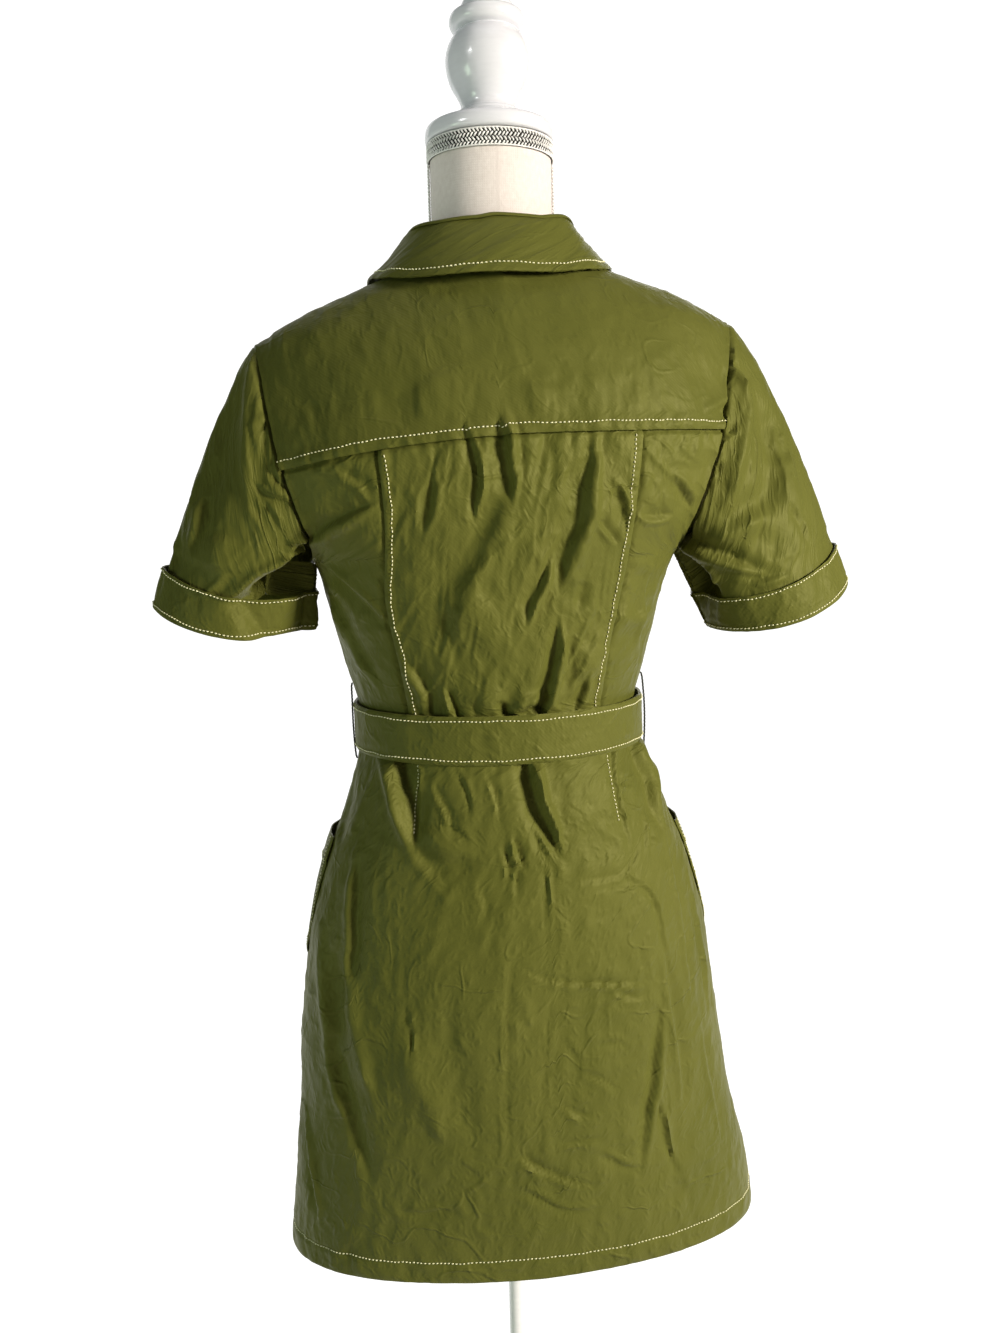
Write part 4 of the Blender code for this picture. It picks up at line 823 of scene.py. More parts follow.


# %% [markdown]
# ## Creases of the back
# These are placed one by one. The deepest fold of the bodice falls from the yoke seam on the wearer's right
# and swings to the centre, a second starts near the centre and swings left, and the cloth is bunched above
# the belt. Below the belt there is a tuck on the left, a deep fold at the centre and darts on both sides.

# %% Crease tables of the back
# half width, height, lip, strength at the start, then the line as x, z, x, z
BACK_CREASES = crease_rows([
    # the deepest fold, and a sliver that takes over at its end
    (9.8, 6.2, 1, 0, -34, 1098, -39.5, 1122, -45, 1140, -50, 1160, -55.5, 1185, -64, 1232),
    (4.6, 3.8, -1, 0.3, -29, 1126, -20.5, 1108, -14, 1090, -9, 1068),
    # two short folds at the centre of the seam, running out into a broad trough beside a ridge
    (6, 4.8, -1, 0.9, 5.5, 1219, 4.5, 1200, 1, 1180, 0, 1162),
    (4.6, 4, -1, 0.7, 32, 1219, 26, 1195, 24, 1181, 28, 1163, 26.5, 1146),
    (12, -5.2, 0, 0.3, 7, 1174, 17, 1154, 28, 1136, 43, 1117, 59, 1101, 72, 1076),
    (7.5, 3.6, 0, 0.2, -1, 1172, 14, 1143, 25, 1121, 33, 1100, 46, 1065, 60, 1028),
    (5.5, 2.8, -1, 0.2, 58, 1190, 60, 1164, 67, 1142),
    (4.8, -3, 0, 0.3, -58, 1108, -54, 1096, -50, 1082),
    (3, 2, -1, 0.3, -80, 1180, -90, 1161),
    (4, 2.2, 1, 0.3, -66, 1154, -84, 1132),
    # bunched above the belt: a sharp wedge, and small arches
    (5.6, 6.2, 1, 1, -22.5, 994, -27, 1020, -31.5, 1040, -34, 1060, -35.5, 1086),
    (10, 4, 0, 0.4, 30, 1018, 18, 1016, 4, 1017),
    (5, 5.8, 0, 0.5, -3, 1008, -13, 1015, -26, 1014),
    (3.6, -5.8, 0, 0.9, -8, 998, -14, 1005, -24, 1005),
    (3.8, -5.6, 0, 0.9, 5, 996, 8, 1007, 14, 1018),
    (3.2, 3.6, -1, 0.8, 43, 996, 47, 1010, 54, 1030),
    (6, 3.1, -1, 0.8, 62, 1000, 68, 1024, 84, 1052),
    (4.5, 2.6, 1, 0.7, -50, 1000, -56, 1020, -60, 1038),
    (7, 3.9, 1, 0.3, 158, 1142, 138, 1154, 116, 1164, 96, 1174),
    (5, 2.3, -1, 0.3, 150, 1124, 132, 1110, 108, 1088, 88, 1068),
    (6, 2.6, 1, 0.2, 146, 1104, 130, 1074, 112, 1040, 96, 1012),
    (5, 2.1, 1, 0.2, 126, 1196, 112, 1184, 102, 1170),
    (4.5, 2.3, 1, 0.3, -101, 1156, -115, 1153.5, -134, 1156),
    (6, 2.3, -1, 0.3, -78, 1178, -86, 1156, -90, 1140),
    (7, 2.9, 0, 0.3, -85, 1076, -106, 1072, -124, 1078),
    (6.5, 2.6, 1, 0.3, -120, 1120, -114, 1090, -112, 1052, -108, 1020),
    (6, 3.1, 1, 0.2, -148, 1158, -136, 1176, -124, 1190),
    (13, 3.9, 0, 0.2, 30, 1100, 20, 1070, 12, 1044),
    (9, -2.9, 0, 0.2, 56, 1088, 48, 1062, 44, 1040),
    (11, 3.4, 0, 0.2, -66, 1060, -60, 1036, -52, 1020),
    # across the yoke: soft drags from the shoulder ends and from the collar
    (17, -2.3, 0, 0.3, 178, 1262, 140, 1252, 100, 1236),
    (13, 2.1, 0, 0.3, 184, 1292, 150, 1300, 100, 1310),
    (12, 2.1, 0, 0.3, -190, 1300, -150, 1306, -100, 1318),
    (10, -2.3, 0, 0.4, -184, 1256, -160, 1262, -138, 1262),
    (6, 2.1, 1, 0.4, -184, 1244, -168, 1234, -150, 1230),
    (16, 2.1, 0, 0.2, 60, 1262, 52, 1244, 50, 1226),
    (11, -2.1, 0, 0.2, 92, 1250, 86, 1236, 84, 1220),
    (9, 2, 0, 0.2, -28, 1256, -26, 1240, -24, 1226),
])
SKIRT_BACK_CREASES = crease_rows([
    # left hip: a ridge, and a dark wedge between it and the dart
    (7.8, 10, 1, 1, 90, 974, 87, 945, 84, 922, 81, 893),
    (4.2, 2.6, 0, 0.9, 104, 972, 100, 947, 94, 923, 85, 895, 71, 877, 56, 858, 46, 842),
    (3, 2.4, -1, 1, 76, 972, 78, 942, 82, 897),
    (4.5, 3.4, 1, 0.8, 132, 966, 136, 931, 142, 900, 145, 872),
    # centre: a deep fold out of the belt with a crisp right edge
    (6.6, 9.5, -1, 1, -10, 974, -14, 946, -20, 922, -30, 900, -38, 886),
    (3.6, 2.8, 1, 0.5, 4, 908, -1, 890, -8, 878),
    (3.2, 2.2, -1, 0.5, -12, 914, -20, 896, -28, 884),
    # bunched middle between the darts
    (8, -3.6, 0, 0.5, 83, 897, 67, 889, 48, 886, 26, 888),
    (7.5, 2.6, 0, 0.3, 74, 910, 52, 900, 30, 902),
    (3.4, 2, 1, 0.6, 62, 946, 54, 926, 50, 908),
    (3, 1.6, -1, 0.5, 44, 958, 36, 936, 38, 920),
    (3, 1.6, 1, 0.5, 22, 956, 14, 934, 16, 914),
    (2.8, 1.4, -1, 0.4, 58, 920, 44, 914, 34, 904),
    (3.2, 1.8, 1, 0.6, 12, 900, 8, 884, 10, 868),
    (2.8, 1.6, 1, 0.5, 0, 886, 3, 872, 2, 858),
    (2.6, 1.6, -1, 0.6, -21, 880, -22, 853, -21, 832),
    (2.6, 1.2, 1, 0.4, 32, 872, 28, 856, 30, 840),
    # right hip
    (2.6, 1.2, 1, 0.4, -48, 870, -71, 868, -91, 874, -100, 885, -103, 908),
    (2.8, 1.6, -1, 0.4, -86, 867, -107, 853, -116, 836, -120, 807, -128, 773),
    (3, 1.8, 1, 0.4, -115, 909, -113, 889, -109, 873),
    (2.6, 1.6, -1, 1, -83, 972, -83, 938, -87, 918, -92, 896, -91, 876),
    (2.2, 1.4, 1, 0.6, -83, 940, -103, 936),
    (7, 6, -1, 1, -104, 974, -112, 944, -122, 914, -129, 884),
    (4, 1.8, 1, 0.3, -132, 884, -142, 826, -148, 770, -152, 720),
    (3.2, 1.6, -1, 0.3, -150, 846, -162, 780, -170, 710),
    # pressed lines, and the crease across the middle
    (2.2, 1.1, 1, 0.5, 11, 820, 14, 761, 16, 691, 18, 600),
    (2.2, 1, -1, 0.4, -24, 785, -20, 745, -15, 688, -14, 620),
    (3, 2, 1, 0.3, 1, 805, -18, 795, -37, 790, -61, 785, -84, 781, -108, 777, -124, 783),
    (2.4, 1.2, -1, 0.3, -52, 761, -69, 767, -92, 773, -114, 775),
    (2.4, 1.2, 1, 0.4, -78, 776, -92, 766, -110, 767),
    # right side, falling to the hem
    (6, 3.4, -1, 0.3, -117, 745, -110, 700, -102, 656, -95, 596),
    (5.5, 3, 1, 0.4, -123, 790, -133, 727, -139, 682, -135, 646),
    (3, 2.2, -1, 0.5, -114, 672, -119, 644, -126, 618, -138, 594),
    (4, 2, 1, 0.3, -160, 720, -170, 660, -180, 600),
    # left side: a broad ridge with a dark trough outside it
    (6.2, -8, 0, 0.3, 152, 730, 150, 700, 143, 672, 135, 648, 127, 606),
    (3.2, 3, 0, 0.3, 160, 722, 156, 696, 149, 670, 140, 644),
    (4.6, 4.4, 0, 0.4, 161, 820, 161, 785, 160, 751, 160, 700),
    (5.6, -4, 0, 0.3, 147, 800, 148, 753, 146, 712),
    (6.2, 4, 0, 0.3, 139, 800, 137, 767, 133, 736, 128, 702, 115, 665),
    (5, 4.4, -1, 0.4, 187, 650, 182, 610, 179, 580, 177, 545),
    (2.6, 1.6, -1, 0.4, 91, 770, 88, 738, 90, 722),
    (11, 3.2, 0, 0.2, 95, 750, 87, 716, 73, 682, 54, 650),
    (5, 3.6, 1, 0.3, 128, 880, 134, 820, 136, 770),
    (12, -2.6, 0, 0.2, 60, 780, 58, 720, 40, 640),
    # towards the hem
    (3.4, 2.2, 1, 0.3, 9, 644, -14, 630, -41, 616, -68, 606),
    (3.4, 2.2, -1, 0.3, 5, 617, -31, 594, -68, 591),
    (2.4, 1.4, 1, 0.4, -28, 652, -50, 651, -66, 649),
    (2.6, 1.6, 1, 0.4, 6, 652, -9, 631, -24, 612),
    (4, 2, -1, 0.3, -60, 640, -84, 622, -106, 616),
    (4, 1.8, 1, 0.3, 60, 600, 82, 592, 110, 592),
    (2.8, 1.4, 1, 0.4, -50, 710, -66, 700, -78, 684),
    (2.8, 1.4, -1, 0.4, -34, 742, -44, 722, -42, 700),
    (2.8, 1.2, -1, 0.4, -60, 736, -76, 734, -90, 722),
    (2.6, 1.4, 1, 0.4, -26, 690, -42, 676, -60, 672),
])
BACK_CREASES += gathers(11, 0.165, -0.158, 34, yoke_seam_height, 0.026, 0.0011)
BACK_CREASES += gathers(12, 0.08, -0.09, 16, yoke_seam_height, 0.06, 0.0013)
BACK_CREASES += gathers(13, 0.16, -0.15, 26, lambda x: yoke_seam_height(x) + 0.04, 0.04, 0.0007)
BACK_CREASES += gathers(14, 0.07, -0.07, 12, lambda x: 1.000, -0.02, 0.0014)
SKIRT_BACK_CREASES += gathers(15, 0.1, -0.11, 18, lambda x: 0.972, 0.022, 0.0011)
print(len(BACK_CREASES), "creases above the waist,", len(SKIRT_BACK_CREASES), "below")

# %% [markdown]
# ## A piece of the dress
# This step is shared by every sewn piece of the body. The smooth surface comes first, then the creases,
# which die out towards the side seams so that back and front meet, then the crumpling, then the seam
# edges. Under the belt nothing may stand out, because the belt holds it down.

# %% Sewn piece on the body
SIDE_CALM = 0.022
BELT_HALF = 0.0195
DEEPEST = 0.0074        # the form lies 9 mm inside the cloth
HEM_DEEP = 0.019
# these keep the iron's flatness; the rest is creased from wear
PRESSED = ("back_yoke", "collar_stand", "collar_leaf")


def cloth_piece(name, points, normals, *stitches, gaps=None, group="seams", held="draped", **settings):
    """Make a piece and topstitch it. A row of stitches has an edge (0 to 3, in the order of reach), the
    distance from it, a seed, and where the line is cut off at its start and end."""
    finish = pressed_sateen if name in PRESSED else olive_sateen
    made = shell(f"cloth_{name}", points, normals, finish, **settings)
    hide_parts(name)
    gaps = gaps or reach(points)
    for edge, distance, seed, *ends in stitches:
        first, last = ends or (0, None)
        path, stand = (line_at(grid, gaps[edge], distance, edge // 2) for grid in (points, normals))
        topstitch(group, path[first:last], stand[first:last], seed)


def puckers(run, gap, seed, pitch, deep, centre, spread):
    """Uneven little puckers across a seam."""
    return deep * bumps_of_noise(run / pitch, 0 * run + 0.37 * seed, seed) * bell(gap - centre, spread)


def lap_edge(gap, run, seed):
    return lapped(gap) + puckers(run, gap, seed, 0.0036, 0.00045, 0.003, 0.0042)


def under_edge(gap, run, seed):
    """The last 3 mm lie under the neighbour's lap; beyond it the cloth is drawn up a little."""
    hidden = -0.0026 * ease((0.0066 - gap) / 0.003)
    return hidden + puckers(run, gap, seed, 0.0052, 0.0007, 0.007, 0.0075)


def seam_edge(gap, run, seed):
    """A plain seam, pressed flat: the cloth dips into the seam line."""
    return tucked(gap) + puckers(run, gap, seed, 0.006, 0.0004, 0.004, 0.006)


def armhole_edge(gap, run, seed):
    """The body lies on the sleeve's seam allowance, so it stands up beside the seam and drops into it."""
    return (0.0012 * bell(gap - 0.0018, 0.0018) - 0.001 * bell(gap, 0.0005)
            + puckers(run, gap, seed, 0.006, 0.0004, 0.004, 0.006))


def hem_edge(gap, run, seed):
    """Cloth turned up on the inside and stitched: a soft ledge, a groove, and slanting puckers."""
    groove = -0.0008 * bell(gap - HEM_DEEP, 0.0012)
    ledge = 0.0005 * ease((HEM_DEEP - gap) / 0.003)
    slanting = puckers(run + 0.5 * gap, gap, seed, 0.006, 0.001, 0.6 * HEM_DEEP, 0.011)
    return groove + ledge + slanting - 0.0005 * bell(gap, 0.0012)


def fold_edge(gap, _run, _seed):
    """A folded edge: rounded, a touch thicker."""
    return 0.0003 - 0.0006 * bell(gap, 0.0012)


def dress_cloth(name, side, grid, rows, edges, seed, *stitches, out=0.0, rough=1.0, pulls=(), **settings):
    """Make a piece that lies on the body. edges says how its four edges are finished, and pulls has the
    lean, width, length and height of its drags."""
    smooth = body(side, grid[..., 0], grid[..., 1])
    places, gaps = smooth[..., [0, 2]], reach(smooth)
    down, _, across, _ = gaps
    nearest = np.min(gaps, axis=0)
    push = creases(places, rows) * ease(side * smooth[..., 1] / SIDE_CALM)
    push += crumple(across, down, seed, rough) * ease(nearest / 0.006)
    for k, pull in enumerate(pulls):
        push += drags(places, seed + 31 * k, *pull) * ease(nearest / 0.008)
    room = 0.001 + 0.75 * np.maximum(np.abs(smooth[..., 2] - WAIST) - BELT_HALF, 0.0)
    push = np.where(push < 0, DEEPEST * np.tanh(push / DEEPEST), np.minimum(push, room))
    for k, (gap, run, edge) in enumerate(zip(gaps, (across, across, down, down), edges)):
        if edge:
            push += edge(gap, run, seed + k)
    points, normals = pushed(smooth, body_normals(side, grid[..., 0], grid[..., 1]), push + out)
    cloth_piece(name, points, normals, *stitches, **settings)
    return points, normals


print("deepest trough", DEEPEST * 1000, "mm")

# %% [markdown]
# ## Back panels
# The back has a centre panel and two side panels, joined by curved princess seams that shape the waist.
# The centre panel's seam allowance is pressed towards the centre and topstitched 6 mm from the seam, so
# the centre panel's edge stands up over the side panel's. All three run 3 mm up under the yoke.

# %% Back panel edges
TUCK, PRINCESS_STITCH = 0.003, 0.006


def as_edge(girth, height):
    return np.stack(np.broadcast_arrays(girth, height), axis=-1)


def rising(low, top, share, girth_of):
    """Places on an edge, at shares of the way from one height up to another."""
    height = low + (top - low) * share
    return as_edge(girth_of(height), height)


def side_and_armhole(sign, top, share):
    """Side seam, then armhole, from the waist up to a height."""
    return rising(WAIST, top, share,
                  lambda height: sign * np.where(height < UNDERARM, math.pi / 2, armhole_girth(height)))


def princess(sign, share, beyond=0.0):
    """Princess seam from the waist to the yoke, moved beyond it away from the centre."""
    return rising(WAIST, princess_corner(sign)[1] + TUCK, share,
                  lambda height: girth_at(princess_x(height, sign) + sign * beyond, height))


def fitted_patch(left, right, bottom, top, v, u):
    """A patch whose bottom and top are first moved to meet its sides."""
    def moved(rows, end):
        return rows + (1 - u)[:, None] * (left[end] - rows[0]) + u[:, None] * (right[end] - rows[-1])

    return patch(left, right, moved(bottom, 0), moved(top, -1), v, u)


def yoke_low(girth):
    return yoke_seam_height(half_width(ARCH_FOOT) * np.sin(girth))


def panel(left, right, v, u):
    """A fitted patch between two edges, from the waist to 3 mm above the yoke's lower edge."""
    low, high = (left[end, 0] + (right[end, 0] - left[end, 0]) * u for end in (0, -1))
    return fitted_patch(left, right, as_edge(low, WAIST), as_edge(high, yoke_low(high) + TUCK), v, u)

# %% Back panels in cloth
rows_up = shares(168, length=0.235)
columns_mid = shares(136, length=0.19)
columns_side = shares(46, length=0.075)

grid = panel(princess(1, rows_up), princess(-1, rows_up), rows_up, columns_mid)
dress_cloth("back_center_panel", 1, grid, BACK_CREASES, (None, under_edge, lap_edge, lap_edge), 21,
            (2, PRINCESS_STITCH, 5, 4, -4), (3, PRINCESS_STITCH, 6, 4, -4),
            pulls=((32, 0.009, 0.042, 0.0011), (8, 0.006, 0.03, 0.0006)))
for sign, name in SIDES:
    outer = side_and_armhole(sign, yoke_corner(sign)[1] + TUCK, rows_up)
    grid = panel(outer, princess(sign, rows_up, -TUCK), rows_up, columns_side)
    edges = (None, under_edge, armhole_edge, under_edge)
    dress_cloth(f"back_side_panel_{name}", 1, grid, BACK_CREASES, edges, 30 + sign,
                pulls=((55 * sign, 0.01, 0.036, 0.0009), (5, 0.007, 0.03, 0.0005)))

# %% [markdown]
# ## Yoke
# The yoke is one piece that lies over both shoulders and ends in a seam just in front of them. Its lower
# edge is folded under and topstitched 7 mm above the fold, over the gathered back. The seam is drawn up by
# its stitches, so the band below the stitching is full of small puckers. The grid runs up the back to the
# shoulder ridge and down the other side; the neck is left out of its middle.

# %% Yoke in cloth
YOKE_BAND = 0.0072
NECK_START = 0.34                       # share of the width from the shoulder's end to the neck


def yoke_edge(gap, run, seed):
    groove = 0.0006 * bell(gap - YOKE_BAND, 0.0012)
    ledge = 0.0017 * ease((YOKE_BAND + 0.004 - gap) / 0.004)
    ticks = puckers(run, gap, seed, 0.0034, 0.001, 0.0034, 0.004)
    above = puckers(run, gap, seed + 9, 0.0058, 0.0009, 0.013, 0.008)
    return ledge - groove - 0.0006 * bell(gap, 0.0012) + ticks + above


tip, neck = float(armhole_girth(RIDGE)), float(girth_at(NECK_SIDE, RIDGE))
columns_yoke = shares(196, length=0.39)
rows_yoke = shares(74, length=0.16)
rows_flap = np.linspace(0, 1, 18)[1:]


def crest(share):
    """The ridge, with the neck opening dipping behind it."""
    girth = np.interp(share, [0, NECK_START, 1 - NECK_START, 1], [tip, neck, -neck, -tip])
    return as_edge(girth, np.where(np.abs(girth) < neck, neckline_height(girth), RIDGE))


def yoke_arm(sign):
    return rising(yoke_corner(sign)[1], RIDGE, 1 - (1 - rows_yoke) ** 1.3,
                  lambda height: sign * armhole_girth(height))


girth = yoke_corner(1)[0] + (yoke_corner(-1)[0] - yoke_corner(1)[0]) * columns_yoke
back_part = patch(yoke_arm(1), yoke_arm(-1), as_edge(girth, yoke_low(girth)), crest(columns_yoke),
                  rows_yoke, columns_yoke)
far = 2 * RIDGE - SHOULDER_SEAM
flap_height = RIDGE + (far - RIDGE) * rows_flap[:, None]
beside = np.abs(0.5 - columns_yoke)[None] * 2
from_neck = np.clip((beside - (1 - 2 * NECK_START)) / (2 * NECK_START), 0, 1)
at_neck = front_neck_girth(flap_height)
flap_girth = at_neck + (armhole_girth(flap_height) - at_neck) * from_neck
flap = as_edge(flap_girth * np.sign(0.5 - columns_yoke)[None], flap_height)
grid = np.concatenate([back_part, flap])
on_back = np.arange(len(grid) - 1)[:, None] < len(back_part) - 1
on_shoulder = np.minimum(beside[:, 1:], beside[:, :-1]) >= 1 - 2 * NECK_START - 1e-9
dress_cloth("back_yoke", 1, grid, BACK_CREASES, (yoke_edge, None, armhole_edge, armhole_edge), 41,
            (0, YOKE_BAND, 7), rough=0.8, pulls=((70, 0.016, 0.06, 0.00035), (4, 0.007, 0.022, 0.00022)),
            keep=on_back | on_shoulder)

# %% [markdown]
# ## Fronts
# Each front is one piece from the side seam to past the centre, where the right one laps over the left.
# The buttoned edge is a folded band, stitched 26 mm from its edge. Above the top button the edges open in
# a V. The bust fullness makes soft creases from the armholes and above the belt.

# %% Crease tables of the front
# the wearer's left; the right has the same ones, a little wider apart
FRONT_CREASES = crease_rows(both_sides([
    (9, 6, -1, 0.3, 62, 1130, 56, 1090, 50, 1050, 44, 1012),
    (7, 4.4, 1, 0.3, 98, 1110, 88, 1070, 80, 1030, 74, 1004),
    (6, 3.1, 1, 0.4, 160, 1150, 132, 1146, 104, 1156),
    (5, 2.6, -1, 0.4, 150, 1128, 128, 1110, 108, 1086),
    (8, 2.9, 0, 0.3, 150, 1270, 120, 1230, 100, 1196),
    (6, 2.9, 1, 0.3, 34, 1200, 36, 1160, 40, 1120),
    (4.5, 3.1, 1, 0.8, 30, 1002, 32, 1022, 38, 1040),
]))
FRONT_CREASES += gathers(51, 0.15, 0.03, 12, lambda x: 1.000, -0.022, 0.0012)
FRONT_CREASES += gathers(52, -0.03, -0.15, 12, lambda x: 1.000, -0.022, 0.0012)
SKIRT_FRONT_CREASES = crease_rows(both_sides([
    (11, 8.4, 1, 0.9, 58, 970, 66, 930, 78, 884, 90, 838),
    (4, 3, -1, 1, 84, 968, 92, 930, 96, 902),
    (13, 8.4, -1, 0.2, 112, 770, 122, 710, 132, 650, 138, 590),
    (6, 3.3, 1, 0.2, 60, 800, 56, 730, 62, 660),
    (4.5, 2.7, 1, 0.3, 164, 760, 172, 690, 180, 620),
    (4, 2.4, 1, 0.3, 30, 872, 52, 866, 80, 872),
    (4.5, 2.3, 1, 0.3, 40, 640, 70, 630, 100, 636),
]))
SKIRT_FRONT_CREASES += gathers(53, 0.11, -0.11, 16, lambda x: 0.972, 0.024, 0.0011)
print(len(FRONT_CREASES) + len(SKIRT_FRONT_CREASES), "creases in front")

# %% Fronts in cloth
PLACKET, FRONT_EDGE_STITCH = 0.026, 0.003
NECK_TURN = 0.72            # share of a front's top edge that is shoulder


def front_opening(sign, share):
    """Straight up past the centre, then out along the V."""
    start, end = NECK_EDGE_ROWS[0][0], NECK_EDGE_ROWS[-1][0]
    return rising(WAIST, end, share, lambda height: sign * girth_at(
        np.where(height < start, -FRONT_LAP, read(NECK_EDGE_ROWS, height, 1)), height))


def front_top(sign, share):
    """Shoulder seam, then down the neckline to the top of the V."""
    high, low = SHOULDER_SEAM + TUCK, NECK_EDGE_ROWS[-1][0]
    height = high + (low - high) * np.clip((share - NECK_TURN) / (1 - NECK_TURN), 0, 1)
    at_shoulder = np.clip(share / NECK_TURN, 0, 1)
    shoulder = armhole_girth(high) + (front_neck_girth(high) - armhole_girth(high)) * at_shoulder
    return as_edge(sign * np.where(share < NECK_TURN, shoulder, front_neck_girth(height)), height)


def front_bottom(sign, share):
    return as_edge(sign * (math.pi / 2) * (1 - share) - sign * 0.12 * share, WAIST)
def lap_lift(sign, girth, height):
    """The right front stands off where it passes over the left one."""
    if sign > 0:
        return 0.0
    return LAP_LIFT * ease((half_width(height) * np.sin(girth) + LAP_COLUMN) / 0.01 + 1.0)


rows_front = shares(112, length=0.36)
columns_front = shares(58, length=0.21)
for sign, name in SIDES:
    outer = side_and_armhole(sign, SHOULDER_SEAM + TUCK, rows_front)
    grid = fitted_patch(outer, front_opening(sign, rows_front), front_bottom(sign, columns_front),
                        front_top(sign, columns_front), rows_front, columns_front)
    edges = (None, under_edge, armhole_edge, fold_edge)
    dress_cloth(f"front_{name}", -1, grid, FRONT_CREASES, edges, 60 + sign, (3, PLACKET, 8, 6, 84),
                (3, FRONT_EDGE_STITCH, 9, 6, -3), out=lap_lift(sign, grid[..., 0], grid[..., 1]), rough=0.8,
                pulls=((-20 * sign, 0.01, 0.045, 0.0008),))

# %% [markdown]
# ## Skirt
# The skirt back is one wide piece with two darts, and each skirt front laps past the centre like the
# bodice. The hem is turned up 19 mm and topstitched, which leaves a shallow groove with slanting puckers
# below it, because the turned-up edge of a flared skirt is longer than the line it is sewn to.

# %% Skirt in cloth
HEM_BACK, HEM_SIDE, HEM_FRONT, HEM_RISE = 0.533, 0.514, 0.525, 0.009


def hem_level(side, girth):
    middle = HEM_BACK if side > 0 else HEM_FRONT
    rise = HEM_RISE * np.maximum(-np.sin(girth), 0.0)
    return middle + (HEM_SIDE - middle) * np.sin(girth) ** 2 + rise


rows_skirt = shares(176, length=0.46)[:, None]
girth = math.pi / 2 * (1 - 2 * shares(204, length=0.5)[None])
grid = as_edge(girth, WAIST + (hem_level(1, girth) - WAIST) * rows_skirt)
skirt_back = dress_cloth(
    "skirt_back", 1, grid, SKIRT_BACK_CREASES, (None, hem_edge, seam_edge, seam_edge), 71,
    (1, HEM_DEEP, 10), held="hung",
    pulls=((3, 0.0085, 0.06, 0.0004), (-72, 0.01, 0.03, 0.00035), (24, 0.012, 0.04, 0.00045)))

rows_skirt = shares(124, length=0.46)[:, None]
columns_half = shares(72, length=0.27)[None]
for sign, name in SIDES:
    opening = sign * girth_at(-FRONT_LAP, WAIST + (HEM_FRONT - WAIST) * rows_skirt)
    girth = sign * math.pi / 2 * (1 - columns_half) + opening * columns_half
    level = WAIST + (hem_level(-1, girth) - WAIST) * rows_skirt
    edges = (None, hem_edge, seam_edge, fold_edge)
    dress_cloth(f"skirt_front_{name}", -1, as_edge(girth, level), SKIRT_FRONT_CREASES, edges, 80 + sign,
                (1, HEM_DEEP, 11), (3, PLACKET, 12, 6, -3), out=lap_lift(sign, girth, level), rough=0.8,
                pulls=((4, 0.0095, 0.07, 0.0006), (-70, 0.011, 0.03, 0.0004)), held="hung")

# %% [markdown]
# ## Darts
# A dart is a wedge of cloth folded to the inside and sewn shut, then topstitched on the outside. The two
# back darts run down from the waist. Their stitches follow the skirt's own surface: each place on the dart
# line takes the nearest point of the finished skirt.

# %% Dart stitches
DARTS = (mm((75, 964), (76, 950), (78.5, 930), (81.5, 906)),
         mm((-77, 964), (-79, 948), (-81.5, 930), (-85, 908)))


def on_surface(points, normals, places):
    """Points and normals of a piece nearest to (x, z) places seen from behind."""
    flat = points[..., [0, 2]].reshape(-1, 2)
    found, stand = [], []
    for place in places:
        away = np.linalg.norm(flat - place, axis=1)
        near = np.argsort(away)[:4]
        weight = 1 / (away[near] + 1e-6)
        weight = weight / weight.sum()
        found.append(weight @ points.reshape(-1, 3)[near])
        stand.append(weight @ normals.reshape(-1, 3)[near])
    return np.array(found), unit(np.array(stand))


for k, dart in enumerate(DARTS):
    topstitch("seams", *on_surface(*skirt_back, smooth_line(dart, 24)), 20 + k)
print("darts stitched")

# %% [markdown]
# ## Patch pockets
# A patch pocket is sewn on round three sides, and its mouth stands off a little because the cloth between
# the stitches is looser than the skirt under it. Each one runs just past the side seam, and follows the
# skirt's creases one cloth's thickness further out.

# %% Pockets in cloth
FRONT_COLUMN = math.radians(7.6)
POCKET_TOP, POCKET_TALL = 0.888, 0.114
POCKET_TURNS = (math.pi / 2 - 5 * FRONT_COLUMN, math.pi / 2 + math.radians(7.0))
POCKET_STAND_OFF, POCKET_CORNER = 0.006, 0.38
POCKET_SEAT, POCKET_HEM, POCKET_STITCH = 0.0016, 0.024, 0.005

rows_pocket = shares(44, length=0.114)[:, None]
columns_pocket = shares(40, length=0.105)[None]
for sign, name in SIDES:
    turn = POCKET_TURNS[0] + (POCKET_TURNS[1] - POCKET_TURNS[0]) * columns_pocket
    level = POCKET_TOP - POCKET_TALL * rows_pocket * (1 - POCKET_CORNER * (2 * columns_pocket - 1) ** 4)
    turn, level = np.broadcast_arrays(turn, level)
    ease_off = np.cos(rows_pocket * math.pi / 2) ** 2 * np.sin(columns_pocket * math.pi) ** 0.7
    halves = []
    for side, girth, rows in ((-1, turn, SKIRT_FRONT_CREASES), (1, math.pi - turn, SKIRT_BACK_CREASES)):
        smooth, stand = body(side, sign * girth, level), body_normals(side, sign * girth, level)
        push = creases(smooth[..., [0, 2]], rows) * ease(side * smooth[..., 1] / SIDE_CALM)
        halves.append((smooth + stand * np.clip(push, -DEEPEST, 0.004)[..., None], stand))
    behind = turn[..., None] > math.pi / 2
    smooth, stand = (np.where(behind, back, front) for front, back in zip(*halves))
    down, up, across, beyond = gaps = reach(smooth)
    push = POCKET_SEAT + 0.7 * POCKET_STAND_OFF * ease_off + crumple(across, down, 90 + sign, 0.7)
    for gap, run in ((up, across), (across, down), (beyond, down)):
        push = push - 0.0007 * bell(gap, 0.0015) - 0.0005 * bell(gap - POCKET_STITCH, 0.0012)
        push += puckers(run, gap, 91, 0.0042, 0.0003, 0.004, 0.004)
    push += 0.0007 * ease((POCKET_HEM - down) / 0.002)
    cloth_piece(f"hip_pocket_{name}", *pushed(smooth, stand, push), (1, POCKET_STITCH, 13, 4, -4),
                (2, POCKET_STITCH, 14), (3, POCKET_STITCH, 15), (0, POCKET_HEM - 0.002, 16, 2, -2),
                gaps=gaps, group="small")

